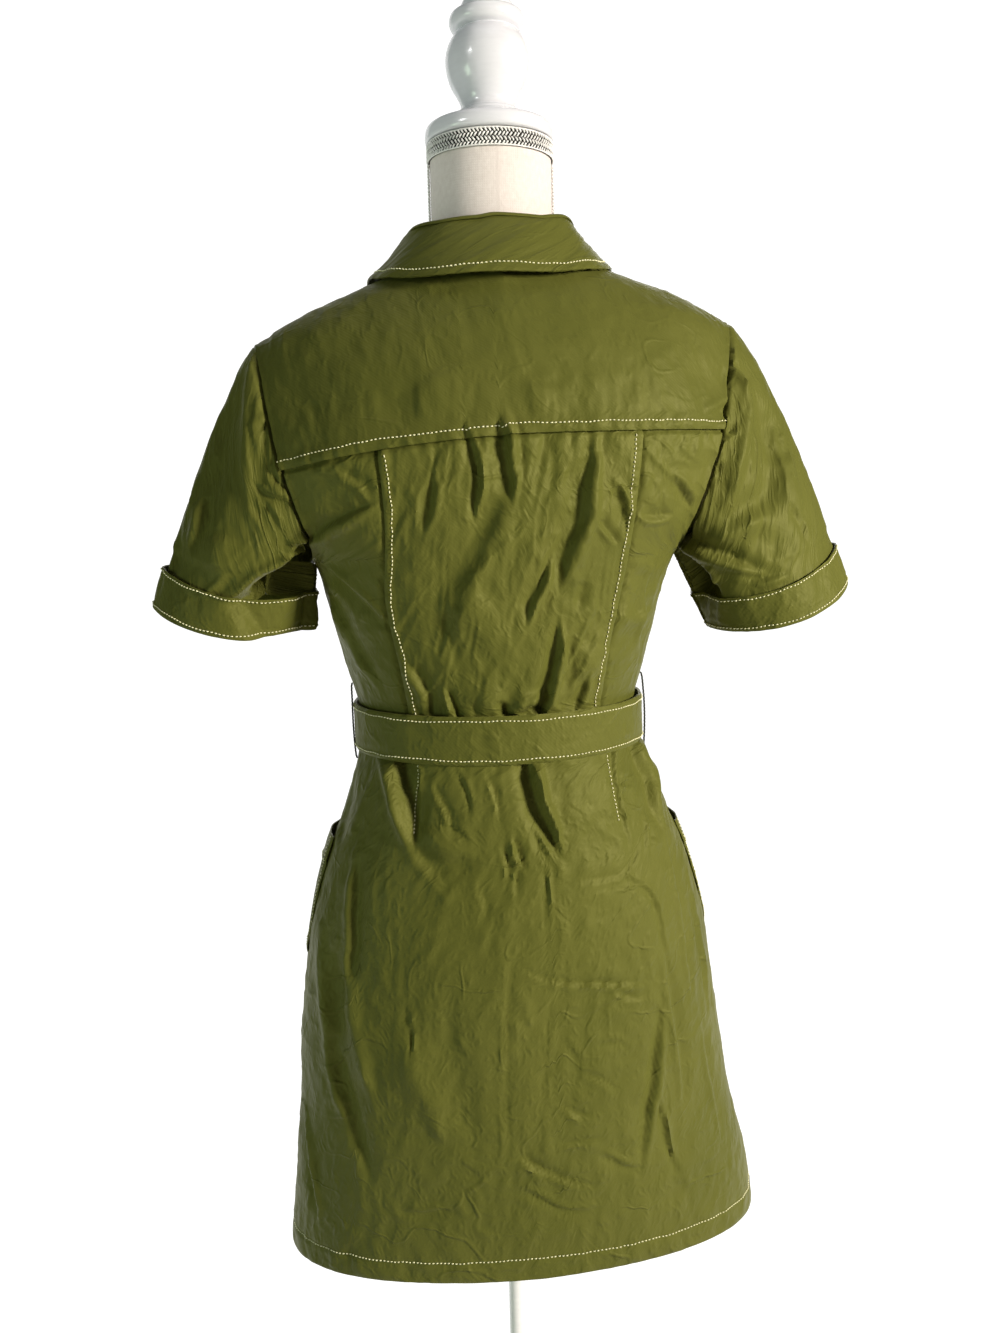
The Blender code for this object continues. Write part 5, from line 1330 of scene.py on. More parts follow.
# %% [markdown]
# ## Sleeves
# A short set-in sleeve starts at the armhole seam and ends in a cuff that is turned up on the outside. The
# surface runs in straight lines from the armhole to the cuff's oval, with some roundness at the cap. The
# grid starts and ends under the arm, where the real sleeve has its own seam.

# %% Sleeve tables
CUFF_BAND = 0.031
CUFF_DEPTH = np.array([0.0, 0.047, -0.012])
SLEEVE_MIDDLE = 0.004       # y of the plane between a sleeve's front and back
OVER_CUFF, CUFF_FOLLOWS = 0.085, 0.35
# left (1) and right (-1): middle of the cuff's oval, half of it across, swell of the cap
SLEEVES = {
    1: (np.array([0.2215, SLEEVE_MIDDLE, 1.08]), np.array([0.064, 0.0, 0.0125]), 0.006),
    -1: (np.array([-0.24, SLEEVE_MIDDLE, 1.0775]), np.array([-0.061, 0.0, 0.019]), 0.009),
}
# creases as on the body; in front the right sleeve has the left one's
SLEEVE_FRONT = [
    (7, 4.9, 0, 0.5, 192, 1286, 198, 1240, 204, 1190, 214, 1150),
    (9, -4.9, 0, 0.4, 210, 1250, 222, 1206, 236, 1160),
    (6, 5.2, 1, 0.7, 162, 1142, 184, 1126, 206, 1112),
    (4, 3.2, -1, 0.8, 176, 1180, 188, 1186, 202, 1196),
    (4.5, 2.9, 1, 0.4, 196, 1160, 204, 1140, 210, 1120),
    (12, -8.7, 0, 0.5, 162, 1116, 178, 1106),
]
# behind (1) or in front (-1), then the left (1) or right (-1) sleeve
SLEEVE_CREASES = {
    (1, 1): crease_rows([
        (5.2, 4.8, 0, 0.5, 190, 1290, 195, 1256, 197, 1226, 199, 1187, 199, 1145),
        (3.5, 3.2, 0, 0.3, 188, 1262, 189, 1229, 190, 1198),
        (9, -4.3, 0, 0.4, 204, 1268, 217, 1229, 233, 1175, 238, 1140),
        (5.5, 2.9, 1, 0.5, 236, 1176, 243, 1152, 252, 1129),
        (4, 1.8, 1, 0.8, 165, 1171, 184, 1178, 197, 1190),
        (4, 2, -1, 0.8, 167, 1183, 174, 1186, 184, 1198),
        (4, 1.4, 1, 0.4, 196, 1170, 190, 1158, 188, 1146),
        (4.2, 1.4, -1, 0.4, 186, 1172, 181, 1160, 177, 1148),
        (11, 3.8, 0, 0.2, 222, 1150, 224, 1130, 225, 1108),
        (3, 2.9, 1, 0.9, 160, 1139, 172, 1138),
        (3, 3.2, -1, 0.9, 160, 1133, 178, 1131),
        (6, 6, 1, 0.8, 156, 1139, 176, 1121, 200, 1108, 219, 1095),
        (5, 2.6, 1, 0.3, 262, 1148, 266, 1124, 270, 1110),
        (5, 2.3, -1, 0.3, 248, 1206, 254, 1176, 262, 1150),
        (4.5, 2.3, 1, 0.3, 214, 1118, 230, 1104, 244, 1096),
        (4, 2, 1, 0.3, 176, 1236, 184, 1232, 190, 1222),
    ]),
    (1, -1): crease_rows([
        (5.5, 5, 0, 0.5, -190, 1284, -199, 1242, -190, 1196, -179, 1166, -166, 1146),
        (11, -7.5, 0, 0.2, -207, 1246, -222, 1216, -226, 1192, -210, 1168, -186, 1152, -168, 1142),
        (5, 3, 1, 0.4, -188, 1276, -197, 1262, -203, 1248),
        (6.5, 4.4, 0, 0.3, -165, 1135, -184, 1140, -202, 1147, -217, 1155),
        (6.5, 5, 1, 0.8, -148, 1137, -169, 1126, -195, 1115, -221, 1105),
        (3.6, 2.6, 1, 0.9, -172, 1214, -180, 1217, -190, 1226),
        (4, 2.8, -1, 0.8, -156, 1186, -168, 1191, -180, 1197),
        (4, 2.6, -1, 0.8, -148, 1170, -160, 1176, -172, 1184),
        (10, 3.6, 0, 0.2, -228, 1206, -240, 1172, -256, 1146),
        (11, -3.4, 0, 0.2, -196, 1136, -220, 1128, -244, 1122),
        (4, 3, -1, 0.4, -165, 1111, -170, 1101, -165, 1091),
        (4.5, 2.4, 1, 0.3, -200, 1100, -216, 1102, -236, 1106),
        (3.5, 1.8, -1, 0.3, -236, 1160, -248, 1140, -256, 1122),
    ]),
    (-1, 1): crease_rows(SLEEVE_FRONT),
    (-1, -1): crease_rows(other_side(SLEEVE_FRONT)),
}
# fold above a hollow near the body: start and end as (x, z), depth
HOLLOWS = {
    1: ((0.157, 1.133), (0.218, 1.099), 0.036),
    -1: ((-0.148, 1.133), (-0.18, 1.09), 0.026),
}
print("sleeve creases:", {key: len(rows) for key, rows in SLEEVE_CREASES.items()})


# %% Sleeve surface
def armhole_line(sign):
    """Dense armhole seam with its turn: 0 on top, half a turn under the arm, back to the top in front."""
    high, low = np.linspace(RIDGE, UNDERARM, 400), np.linspace(UNDERARM, RIDGE, 400)[1:]
    points, normals = (np.concatenate([made(1, sign * armhole_girth(high), high),
                                       made(-1, sign * armhole_girth(low), low)])
                       for made in (body, body_normals))
    run = trail(points)
    turn = np.where(np.arange(len(run)) < 400, run / run[399], 1 + (run - run[399]) / (run[-1] - run[399]))
    return points, normals, turn * math.pi


def sleeve_surface(sign, turn, share):
    """Smooth sleeve at turns round it and shares down it, one row of points for each share."""
    ring, ring_normals, ring_turn = armhole_line(sign)
    middle, across, swell = SLEEVES[sign]
    folded = np.mod(turn, math.tau)
    start = pick(folded, ring_turn, ring) + unit(pick(folded, ring_turn, ring_normals)) * 0.0004
    flat = (np.sin(turn) * np.abs(np.sin(turn)) ** 0.45)[:, None]
    on_top = np.cos(turn)[:, None]
    cuff = middle + across * on_top + CUFF_DEPTH * flat
    t = np.broadcast_to(share, (len(share), len(turn)))[..., None]
    outward = unit(across) * np.maximum(on_top, 0.0) + 0.3 * UP
    swell = swell * np.sin(math.pi * np.maximum(t, 0.0) ** 0.6)
    return start * (1 - t) + cuff * t + outward * swell * np.clip(on_top, 0.0, 1.0) ** 0.6
def hollow(places, start, end, deep):
    """Cloth that falls in below a straight fold from start to end."""
    start, end = np.array(start), np.array(end)
    along = (end - start) / np.linalg.norm(end - start)
    rel = places - start
    below = np.abs(along[1]) * -np.sign(end[0]) * rel[..., 0] - np.abs(along[0]) * rel[..., 1]
    left = (end - places) @ along
    return -deep * ease(below / 0.006) * ease((left + 0.012) / 0.026)


def sleeve_push(sign, smooth):
    """Height of the creases on both halves of a sleeve."""
    places, behind = smooth[..., [0, 2]], smooth[..., 1] - SLEEVE_MIDDLE
    back = creases(places, SLEEVE_CREASES[1, sign]) + hollow(places, *HOLLOWS[sign])
    return back * ease(behind / 0.01) + creases(places, SLEEVE_CREASES[-1, sign]) * ease(-behind / 0.01)


def cuff_share(sign, turn):
    ends = sleeve_surface(sign, turn, np.array([[0.0], [1.0]]))
    return CUFF_BAND / np.linalg.norm(ends[1] - ends[0], axis=-1)


print("cuff covers", float(cuff_share(1, np.array([0.0]))[0]), "of the sleeve's length")

# %% Sleeves and cuffs in cloth
turn = math.pi + math.tau * shares(164, length=0.4)
for sign, name in SIDES:
    cuff_middle = SLEEVES[sign][0]
    above = 1 - cuff_share(sign, turn)
    smooth = sleeve_surface(sign, turn, -0.012 + (above + OVER_CUFF) * shares(78, length=0.19)[:, None])
    middle = cuff_middle * 0.5 + np.array([sign * 0.085, 0.0, 0.61])
    down, up, across, _ = reach(smooth)
    push = sleeve_push(sign, smooth) + crumple(across, down, 110 + sign, 0.7) * ease(down / 0.006)
    for k, pull in enumerate(((-14 * sign, 0.009, 0.04, 0.0004), (50 * sign, 0.009, 0.034, 0.0004))):
        push += drags(smooth[..., [0, 2]], 115 + sign + 31 * k, *pull) * ease(down / 0.008)
    push = np.clip(push, -0.04, 0.009) - 0.0012 * ease((0.0036 - down) / 0.0022)
    push -= 0.0048 * ease((0.0054 - down) / 0.0024) * ease((smooth[..., 1] - 0.012) / 0.025)
    push += puckers(across, down, 113, 0.0065, 0.001, 0.008, 0.01)
    push -= 0.0015 * ease((0.036 - up) / 0.006)
    cloth_piece(f"sleeve_{name}", *pushed(smooth, outward_normals(smooth, smooth - middle), push))

    smooth = sleeve_surface(sign, turn, above + (1.012 - above) * shares(20, length=0.031)[:, None])
    down, up, across, _ = gaps = reach(smooth)
    follow = sleeve_push(sign, smooth) * CUFF_FOLLOWS
    push = 0.001 + np.clip(follow, -0.01, 0.002) + crumple(across, down, 120 + sign, 1.0)
    push += puckers(across, down, 121, 0.006, 0.0009, 0.01, 0.012)
    push += 0.0012 * bumps_of_noise(across / 0.045, down / 0.08, 122 + sign)
    push = push + 0.0008 * ease((0.008 - down) / 0.006) - 0.0005 * bell(down - 0.0035, 0.001)
    push = push - 0.0006 * bell(up, 0.0014) - 0.0005 * bell(up - 0.005, 0.0011)
    cuff = pushed(smooth, outward_normals(smooth, smooth - cuff_middle), push)
    cloth_piece(f"sleeve_cuff_{name}", *cuff, (0, 0.0018, 17), (1, 0.0036, 18), gaps=gaps, group="small",
                thick=0.0014)

# %% [markdown]
# ## Collar
# The stand rises from the neckline, and the leaf folds over it and falls outside. The fold is a soft roll,
# not a sharp edge, because the cloth is double there. The leaf is faced and topstitched 7 mm from its
# edge. It is one grid, from the inside of the roll over the top and down to the edge.

# %% Collar in cloth
# turn from the centre back, then fold line x y z and edge x y z in millimetres
COLLAR_ROWS = [(turn, *(value / 1000 for value in places)) for turn, *places in (
    (0.00, 0, 57, 1380, 0, 80, 1337), (0.28, 37, 48.5, 1380.5, 52, 68, 1337.5),
    (0.52, 62.5, 23, 1381.5, 88, 33, 1344), (0.72, 67.5, -13, 1374, 101, -12, 1348),
    (0.88, 59, -46, 1356, 98.5, -64, 1318), (1.00, 47, -72, 1335, 85, -103, 1278))]
COLLAR_SHIFT, COLLAR_SAG = 0.003, 0.0025
COLLAR_BAND = 0.0068
ROLL = 0.0017
STAND_HEART, LEAF_HEART = 1.36 * UP, 1.2 * UP      # places inside the collar, to tell which way is out


def neck_opening(turn):
    """Neckline from the left front (turn 1) round the back to the right front (turn -1)."""
    height = np.linspace(NECK_EDGE_ROWS[-1][0], RIDGE, 300)
    behind = np.linspace(neck, -neck, 300)
    left = body(-1, front_neck_girth(height), height)
    right_half = body(-1, -front_neck_girth(height), height)[::-1]
    dense = np.concatenate([left, body(1, behind, neckline_height(behind))[1:-1], right_half])
    run = trail(dense)
    return pick((1 - turn) / 2 * run[-1], run, dense)


def collar_line(turn, first_column):
    mirrored = [(-t, -fx, fy, fz, -ex, ey, ez) for t, fx, fy, fz, ex, ey, ez in COLLAR_ROWS[:0:-1]]
    x, y, z = (read(mirrored + COLLAR_ROWS, turn, first_column + k) for k in range(3))
    x = x + COLLAR_SHIFT * (1 - turn**2)
    return xyz(x, y, z - LEAN * x)


turn = 1 - 2 * shares(190, length=0.5)
foot, fold, edge = neck_opening(turn), collar_line(turn, 1), collar_line(turn, 4)
climb = shares(12, edge=0.0008, length=0.05)[:, None, None]
points = (foot + 0.0006 * UP) * (1 - climb) + (fold - 0.003 * UP) * climb
down, up, across, _ = reach(points)
push = crumple(across, down, 131, 0.5) - 0.0004 * bell(down, 0.0015)
normals = outward_normals(points, points - STAND_HEART)
cloth_piece("collar_stand", points + normals * push[..., None], normals, thick=0.0013)

share = shares(44, length=0.058)[:, None]
ripple = sum(tall * bumps_of_noise(turn / long, 0 * turn, seed)
             for tall, long, seed in ((0.0006, 0.09, 133), (0.0009, 0.22, 134)))
rise = np.interp(share, (0.0, 0.1, 0.36, 0.68, 1.0), (0.0, 0.0018, 0.0022, 0.0012, 0.0)) + 0.0012
sag = COLLAR_SAG * np.sin(math.pi * share) * ease((np.abs(turn) - 0.25) / 0.3)
fall = fold * (1 - share[..., None]) + edge * share[..., None]
fall[..., 2] += rise - sag * ease((1.0 - np.abs(turn)) / 0.2) + ripple * (1 - share)
inward = unit(-fold * LEVEL)
roll_turn = np.linspace(math.pi, 0.25 * math.pi, 7)[:, None, None]
roll_centre = fall[0] + inward * ROLL - 0.0002 * UP
rolled = roll_centre + ROLL * (np.cos(roll_turn) * inward + np.sin(roll_turn) * UP)
points = np.concatenate([rolled, fall[1:]])
down, up, across, _ = gaps = reach(points)
push = crumple(across, down, 135, 0.8) * ease(down / 0.01)
push = push - 0.0005 * bell(up - COLLAR_BAND, 0.0011) - 0.0005 * bell(up, 0.0012)
push += puckers(across, up, 136, 0.003, 0.0004, 0.0035, 0.0035)
push += 0.0012 * bumps_of_noise(across / 0.034, down / 0.06, 137) * ease(down / 0.012)
leaf = pushed(points, outward_normals(points, points - LEAF_HEART), push)
cloth_piece("collar_leaf", *leaf, (1, COLLAR_BAND, 19), (2, COLLAR_BAND, 21, 10, -6),
            (3, COLLAR_BAND, 22, 10, -6), gaps=gaps, thick=0.0014, held="folded")

# %% [markdown]
# ## Belt
# The belt is the dress's own cloth, doubled and topstitched along both edges, so it is thicker and its
# edges are rounded. It passes through a resin slide buckle in front, where its free end lies on top, and
# it is held at the side seams by thin chains of thread.

# %% Belt in cloth
BELT_LOW, BELT_HIGH = 0.9655, 1.0045
BELT_WALL = 0.0022
BELT_HALF_WIDTH, BELT_DEPTH_FRONT, BELT_DEPTH_BACK, BELT_SHIFT = 0.1237, 0.0962, 0.0944, 0.004
BELT_TAIL_REACH, BELT_TAIL_START = 0.105, math.radians(10.6)
BELT_STITCH = 0.0042
# creases pressed into the belt behind, as on the body
BELT_CREASES = crease_rows([
    (3.5, -0.9, 0, 0.3, 84, 996, 70, 990, 58, 986),
    (3, -0.7, 0, 0.3, -30, 975, -48, 980, -62, 990),
    (3, 0.6, 0, 0.3, -88, 972, -80, 986, -78, 998),
    (3, -0.6, 0, 0.3, 18, 998, 26, 986, 28, 974),
])


def belt_cloth(angles, out, seed, low, high):
    """Belt band at turns round the waist, 0 in front and plus to the wearer's left."""
    level = (low + (high - low) * shares(14, edge=0.0007, length=0.039))[:, None]
    depth = np.where(np.cos(angles) > 0, BELT_DEPTH_FRONT, BELT_DEPTH_BACK) + out
    points = xyz((BELT_HALF_WIDTH + out) * np.sin(angles) + BELT_SHIFT, -depth * np.cos(angles), level)
    normals = outward_normals(points, points * LEVEL)
    down, up, across, _ = reach(points)
    edge_gap = np.minimum(down, up)
    push = -0.0009 * bell(edge_gap, 0.0011) - 0.00045 * bell(edge_gap - 0.0045, 0.001)
    push += puckers(across, edge_gap, seed, 0.0042, 0.00025, 0.002, 0.004)
    push += 0.0005 * bumps_of_noise(across / 0.031, down / 0.05, seed) * ease(edge_gap / 0.004)
    push += crumple(down, across, seed, 0.5) * ease(edge_gap / 0.004)
    push += creases(points[..., [0, 2]], BELT_CREASES) * ease(points[..., 1] / 0.02)
    wave = 0.0007 * bumps_of_noise(across / 0.09, 0 * down, seed + 2)
    points = points + normals * push[..., None] + wave[..., None] * UP
    return points, outward_normals(points, normals)


gap = math.radians(0.6)
angles = gap + (math.tau - 2 * gap) * shares(250, length=0.7)
cloth_piece("belt", *belt_cloth(angles, 0.0, 141, BELT_LOW, BELT_HIGH), (0, BELT_STITCH, 23),
            (1, BELT_STITCH, 24), group="small", thick=BELT_WALL)
angles = BELT_TAIL_START + BELT_TAIL_REACH / BELT_DEPTH_FRONT * shares(40, length=0.105)
tail = belt_cloth(angles, BELT_WALL + 0.0007, 143, BELT_LOW + 0.0008, BELT_HIGH - 0.0008)
cloth_piece("belt_tail", *tail, (0, BELT_STITCH, 25, 0, -2), (1, BELT_STITCH, 26, 0, -2),
            (3, BELT_STITCH, 27, 2, -2), group="small", thick=BELT_WALL)
# %% Belt loops and buckle
LOOP_REACH = {1: 0.0064, -1: 0.0088}
share = np.linspace(0, 1, 60)
for sign, name in SIDES:
    level = BELT_HIGH + 0.016 + (BELT_LOW - BELT_HIGH - 0.026) * share
    skin = half_width(level) + 0.0012 + LOOP_REACH[sign] * np.sin(math.pi * share) ** 0.7
    middle = xyz(sign * skin + read(BODY_ROWS, level, 4), 0.006, level)
    twists = [share * 44 + k * math.tau / 3 for k in range(3)]
    strands = [sweep(middle + xyz(np.cos(twist), np.sin(twist), 0.0) * 0.00048, 0.00042, 6)
               for twist in twists]
    placed(f"thread_loop_{name}", strands, dark_thread, [f"belt_loop_{name}"])

BUCKLE_WIDTH, BUCKLE_BAR, BUCKLE_WALL = 0.044, 0.0035, 0.0028
half_wide, half_tall = BUCKLE_WIDTH / 2, (BELT_HIGH - BELT_LOW) / 2 + 0.006
middle_level = (BELT_LOW + BELT_HIGH) / 2
face = -(BELT_DEPTH_FRONT + BUCKLE_WALL / 2 + 0.0005)
bow = BELT_DEPTH_FRONT / BELT_HALF_WIDTH**2 / 2
around = np.linspace(0, math.tau, 120, endpoint=False)
corner = (np.abs(np.cos(around)) ** 8 + np.abs(np.sin(around)) ** 8) ** (-1 / 8)
x = (half_wide - BUCKLE_BAR / 2) * corner * np.cos(around)
z = (half_tall - BUCKLE_BAR / 2) * corner * np.sin(around)
frame_path = xyz(x + BELT_SHIFT, face + bow * x * x, z + middle_level)
bar_level = np.linspace(-half_tall + BUCKLE_BAR * 0.7, half_tall - BUCKLE_BAR * 0.7, 9)
bar_path = xyz(BELT_SHIFT, face, bar_level + middle_level)
thin = BUCKLE_WALL / BUCKLE_BAR
buckle = [sweep(frame_path, BUCKLE_BAR / 2, 16, closed=True, flat=thin),
          sweep(bar_path, BUCKLE_BAR / 2, 16, flat=thin)]
placed("resin_buckle", buckle, resin, ["belt_buckle"], 50)

# %% [markdown]
# ## Buttons
# A four-hole shirt button is a small disc with a raised rim and a sunk middle, sewn on with two crossing
# stitches. One is turned on a lathe as rings of points, four holes are cut with a boolean, and copies of
# its mesh are placed down the lap and joined.

# %% Buttons
BUTTON_HEIGHTS = (1.228, 1.146, 1.064, 0.905, 0.823, 0.741, 0.659)
BUTTON_RADIUS, BUTTON_THICK = 0.0072, 0.0028
BUTTON_HOLE, BUTTON_HOLE_OUT = 0.00085, 0.0017
# share of the radius, height above the cloth
BUTTON_PROFILE = ((0.00, 0.0), (0.8, 0.0), (0.95, 0.0004), (1.00, 0.0012), (0.97, 0.0022),
                  (0.9, BUTTON_THICK), (0.82, 0.0027), (0.74, 0.0021), (0.6, 0.0018), (0.00, 0.0018))



def cut_holes(part, places, radius, tall):
    """Cut round holes through a mesh, and return its new vertices and faces."""
    ring, sides = lathe(((radius, -tall), (radius, tall)), 14)
    drill = new_object("drill", *joined([(ring + np.array([x, y, 0.0]), sides) for x, y in places]), resin)
    disc = new_object("disc", *part, resin)
    cutter = disc.modifiers.new("holes", "BOOLEAN")
    cutter.object = drill
    cutter.operation = "DIFFERENCE"
    cutter.solver = "EXACT"
    made = disc.evaluated_get(bpy.context.evaluated_depsgraph_get()).data
    result = np.array([v.co[:] for v in made.vertices]), [list(p.vertices) for p in made.polygons]
    for piece in (disc, drill):
        bpy.data.objects.remove(piece)
    return result


rows = [(share * BUTTON_RADIUS, height) for share, height in BUTTON_PROFILE]
hole_places = [(sx * BUTTON_HOLE_OUT, sy * BUTTON_HOLE_OUT) for sx in (1, -1) for sy in (1, -1)]
disc, disc_faces = cut_holes(lathe(rows, 40), hole_places, BUTTON_HOLE, 0.01)
discs, knots = [], []
for level in BUTTON_HEIGHTS:
    height = float(height_at_level(0.0, level))
    ends = girth_at([-LAP_COLUMN, FRONT_LAP], height)
    pair = body(-1, ends, height) + body_normals(-1, ends, height) * LAP_LIFT
    normal = unit(body_normals(-1, ends, height).sum(axis=0))
    share = LAP_COLUMN / (LAP_COLUMN + FRONT_LAP)
    seat = pair[0] * (1 - share) + pair[1] * share + normal * 0.0006
    flat_x = unit(np.cross((0.0, 0.0, 1.0), normal))
    turned_by = np.stack([flat_x, np.cross(normal, flat_x), normal])
    discs.append((disc @ turned_by + seat, disc_faces))
    for sx in (1, -1):
        ends = np.array([(sx * BUTTON_HOLE_OUT, y, z) for y, z in
                         ((-0.0017, 0.0004), (-0.0015, 0.0021), (0.0, 0.0023), (0.0015, 0.0021),
                          (0.0017, 0.0004))])
        knots.append(sweep(ends @ turned_by + seat, 0.00045, 8, level=normal))
placed("front_buttons", discs, resin, [f"button_{k}" for k in range(1, 8)], 40)
placed("button_thread", knots, cream_thread)

# %% [markdown]
# ## Linen torso
# The dress form is a padded torso covered in linen. It fills the dress with about 9 mm to spare, has flat
# shoulder ends, and narrows to a round neck. Its radius is worked out at every level and direction from
# the dress's own tables, so it can't poke through.

# %% Torso surface
FORM_INSET, SHOULDER_SNUG = 0.009, 0.0034
NECK_CLEARANCE, ARM_PLATE_INSET = 0.012, 0.007
NECK_HALF_WIDTH, NECK_HALF_DEPTH, NECK_ROOT, NECK_TOP = 0.0485, 0.046, 1.33, 1.4495
HIP_ROWS = mm((700, 136, 88, 86), (720, 146, 96, 94), (760, 153, 100, 98), (820, 155, 101, 99),
              (900, 150, 99, 98))
def depth_limit(x, z):
    """Half depths of the dress in front and behind, at distances from the centre."""
    level = np.minimum(z, ARCH_FOOT)
    half = half_width(level)
    oval = np.sqrt(np.clip(1 - (x / half) ** 2, 0, 1))
    rise = np.clip((z - ARCH_FOOT) / (read(RIDGE_ROWS, np.abs(x), 1) - ARCH_FOOT), 0, 1)
    arch = np.sqrt(1 - rise**2)
    inside = np.abs(x) < half
    front = np.where(inside, read(BODY_ROWS, level, 2) * oval * arch**FRONT_ARCH_POWER, 0.0)
    return front, np.where(inside, read(BODY_ROWS, level, 3) * oval * arch, 0.0)


def linen_radius(z, angle):
    """Radius of the linen at levels and directions, by halving the distance to the dress again and again."""
    z, angle = np.broadcast_arrays(z, angle)
    low, high = np.zeros(z.shape), np.full(z.shape, 0.26)
    sin, cos = np.sin(angle), np.cos(angle)
    for _ in range(28):
        r = (low + high) / 2
        front, back = depth_limit(r * sin, z)
        fits = np.abs(r * cos) < np.where(cos > 0, back, front)
        low, high = np.where(fits, r, low), np.where(fits, high, r)
    inset = FORM_INSET - SHOULDER_SNUG * ease((z - 1.25) / 0.03) + NECK_CLEARANCE * ease((z - 1.325) / 0.02)
    radius = np.maximum(low - inset, 0.0)
    plate = read(ARMHOLE_ROWS, height_at_level(0.16, np.minimum(z, 1.3)), 1) - ARM_PLATE_INSET
    plate = plate / np.maximum(np.abs(sin), 1e-6)
    radius = np.where(z > UNDERARM, np.minimum(radius, plate), radius)
    half, depth = read(HIP_ROWS, z, 1), np.where(cos > 0, read(HIP_ROWS, z, 3), read(HIP_ROWS, z, 2))
    hips = 1 / np.sqrt((sin / half) ** 2 + (cos / depth) ** 2)
    radius = np.where(z < HIP_ROWS[-1][0], np.minimum(radius, hips), radius)
    flare = np.exp(-np.maximum(z - NECK_ROOT, 0.0) / 0.01)
    neck = 1 / np.hypot(sin / (NECK_HALF_WIDTH + 0.018 * flare), cos / (NECK_HALF_DEPTH + 0.003 * flare))
    return np.where(z > NECK_ROOT, np.maximum(radius, neck), radius)


levels = np.concatenate([[0.7, 0.7015, 0.704], np.linspace(0.708, 1.29, 50), np.linspace(1.295, 1.366, 26),
                         np.linspace(1.372, NECK_TOP, 16)])[:, None]
angles = np.linspace(0, math.tau, 132, endpoint=False)[None]
radius = linen_radius(levels, angles)
shift = read(BODY_ROWS, np.minimum(levels, ARCH_FOOT), 4) * ease((1.25 - levels) / 0.1)
shift = shift * ease((levels - 0.86) / 0.08)
x = radius * np.sin(angles) + shift
lean = LEAN * x * ease((levels - 1.0) / 0.25) * ease((1.42 - levels) / 0.07)
vertices = xyz(x, radius * np.cos(angles), levels - lean)
ids = np.arange(radius.size).reshape(radius.shape)
faces = ring_faces(ids) + [ids[0].tolist(), ids[-1, ::-1].tolist()]
uv = as_edge(angles * NECK_HALF_WIDTH, levels).reshape(-1, 2)
torso = mesh_object("linen_torso", vertices.reshape(-1, 3), faces, linen, uv, sharp=70)
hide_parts("form_torso")
print("torso", len(faces), "faces")

# %% [markdown]
# ## Gimp braid
# The neck is finished with gimp: a flat braid of thick soft cord laid in slanting loops, with small shaded
# gaps between the cords. Here each visible bight of cord is a short round piece, laid in rows that slant one
# way and then the other, with a cord along each edge, over a near-black sheet that paints the shadow in
# those gaps.

# %% Braid cords
# share of a cord's length, how far it stands out and how thick it is there, in radii
CORD_BOW = ((0.0, -0.6, 0.5), (0.18, 0.3, 1.0), (0.5, 0.6, 1.0), (0.82, 0.3, 1.0), (1.0, -0.6, 0.5))


def short_cords(starts, ends, stand, radius, sides=6):
    """Short cords that dive into the backing at both ends."""
    sections = circle(sides, unit(np.cross(unit(ends - starts), stand)), stand)
    rings = []
    for share, lift, size in CORD_BOW:
        centre = starts + (ends - starts) * share + stand * lift * radius
        rings.append(centre[:, None] + sections * radius * size)
    return tubes(np.stack(rings, axis=1))


def braid(place, count, rows, radius, seed):
    """Rows of slanting cords: place(s, share) gives places along and across the braid."""
    parts = []
    rng = np.random.default_rng(seed)
    for k in range(rows):
        slant = 1 if k % 2 else -1
        s = np.arange(count) + 0.5 * (k % 2)
        s = s + rng.uniform(-0.08, 0.08, len(s))
        starts, normals = place(s - 0.36 * slant, (k + 0.02) / rows)
        ends, _ = place(s + 0.36 * slant, (k + 0.98) / rows)
        parts.append(short_cords(starts, ends, normals, radius))
    return parts


TRIM_LOW = 1.436
TRIM_COUNT = 104


def on_neck(angle, out, level):
    """Places on the neck's oval, moved out, with their outward directions."""
    places = xyz((NECK_HALF_WIDTH + out) * np.sin(angle), (NECK_HALF_DEPTH + out) * np.cos(angle), level)
    return places, unit(places * LEVEL)


def round_neck(s, share):
    """Places round the neck. s counts cords, share climbs from the braid's lower to its upper edge."""
    return on_neck(s / TRIM_COUNT * math.tau, 0.0016, TRIM_LOW + (NECK_TOP - 0.0006 - TRIM_LOW) * share)


round_parts = braid(round_neck, TRIM_COUNT, 4, 0.0007, 151)
for share in (0.02, 0.98):
    edge_path, _ = round_neck(np.linspace(0, TRIM_COUNT, 240, endpoint=False), share)
    round_parts.append(sweep(edge_path, 0.0006, 6, closed=True, level=(0.0, 0.0, 1.0)))
placed("neck_gimp", round_parts, gimp_cord, ["neck_trim"])

# the sheet behind the cords is painted shadow: it stands for the shade in the gaps of the braid
angles = np.linspace(0, math.tau, 96, endpoint=False)
rings = [on_neck(angles, out, level)[0] for out, level in
         ((0.0003, TRIM_LOW), (0.0014, TRIM_LOW), (0.0014, NECK_TOP - 0.0003), (0.0003, NECK_TOP - 0.0003))]
gap_shadow_sheet = (np.concatenate(rings), ring_faces(np.arange(4 * 96).reshape(4, 96), closed=True))
placed("neck_gimp_backing", [gap_shadow_sheet], braid_shadow, sharp=45)

SIDE_BRAID_LOW, SIDE_BRAID_COUNT, SIDE_BRAID_WIDE = 1.385, 19, math.radians(9.0)
for sign, name in SIDES:
    def down_neck(s, share):
        """Places on the braid down a side of the neck."""
        level = SIDE_BRAID_LOW + (TRIM_LOW - 0.0008 - SIDE_BRAID_LOW) * s / SIDE_BRAID_COUNT
        places, _ = on_neck(math.pi / 2 + SIDE_BRAID_WIDE * (share - 0.5), 0.0012, level)
        places = places * np.array([sign, 1.0, 1.0])
        return places, unit(places * LEVEL)

    placed(f"side_gimp_{name}", braid(down_neck, SIDE_BRAID_COUNT, 2, 0.00085, 152 + sign), gimp_cord,
           [f"neck_braid_{name}"])

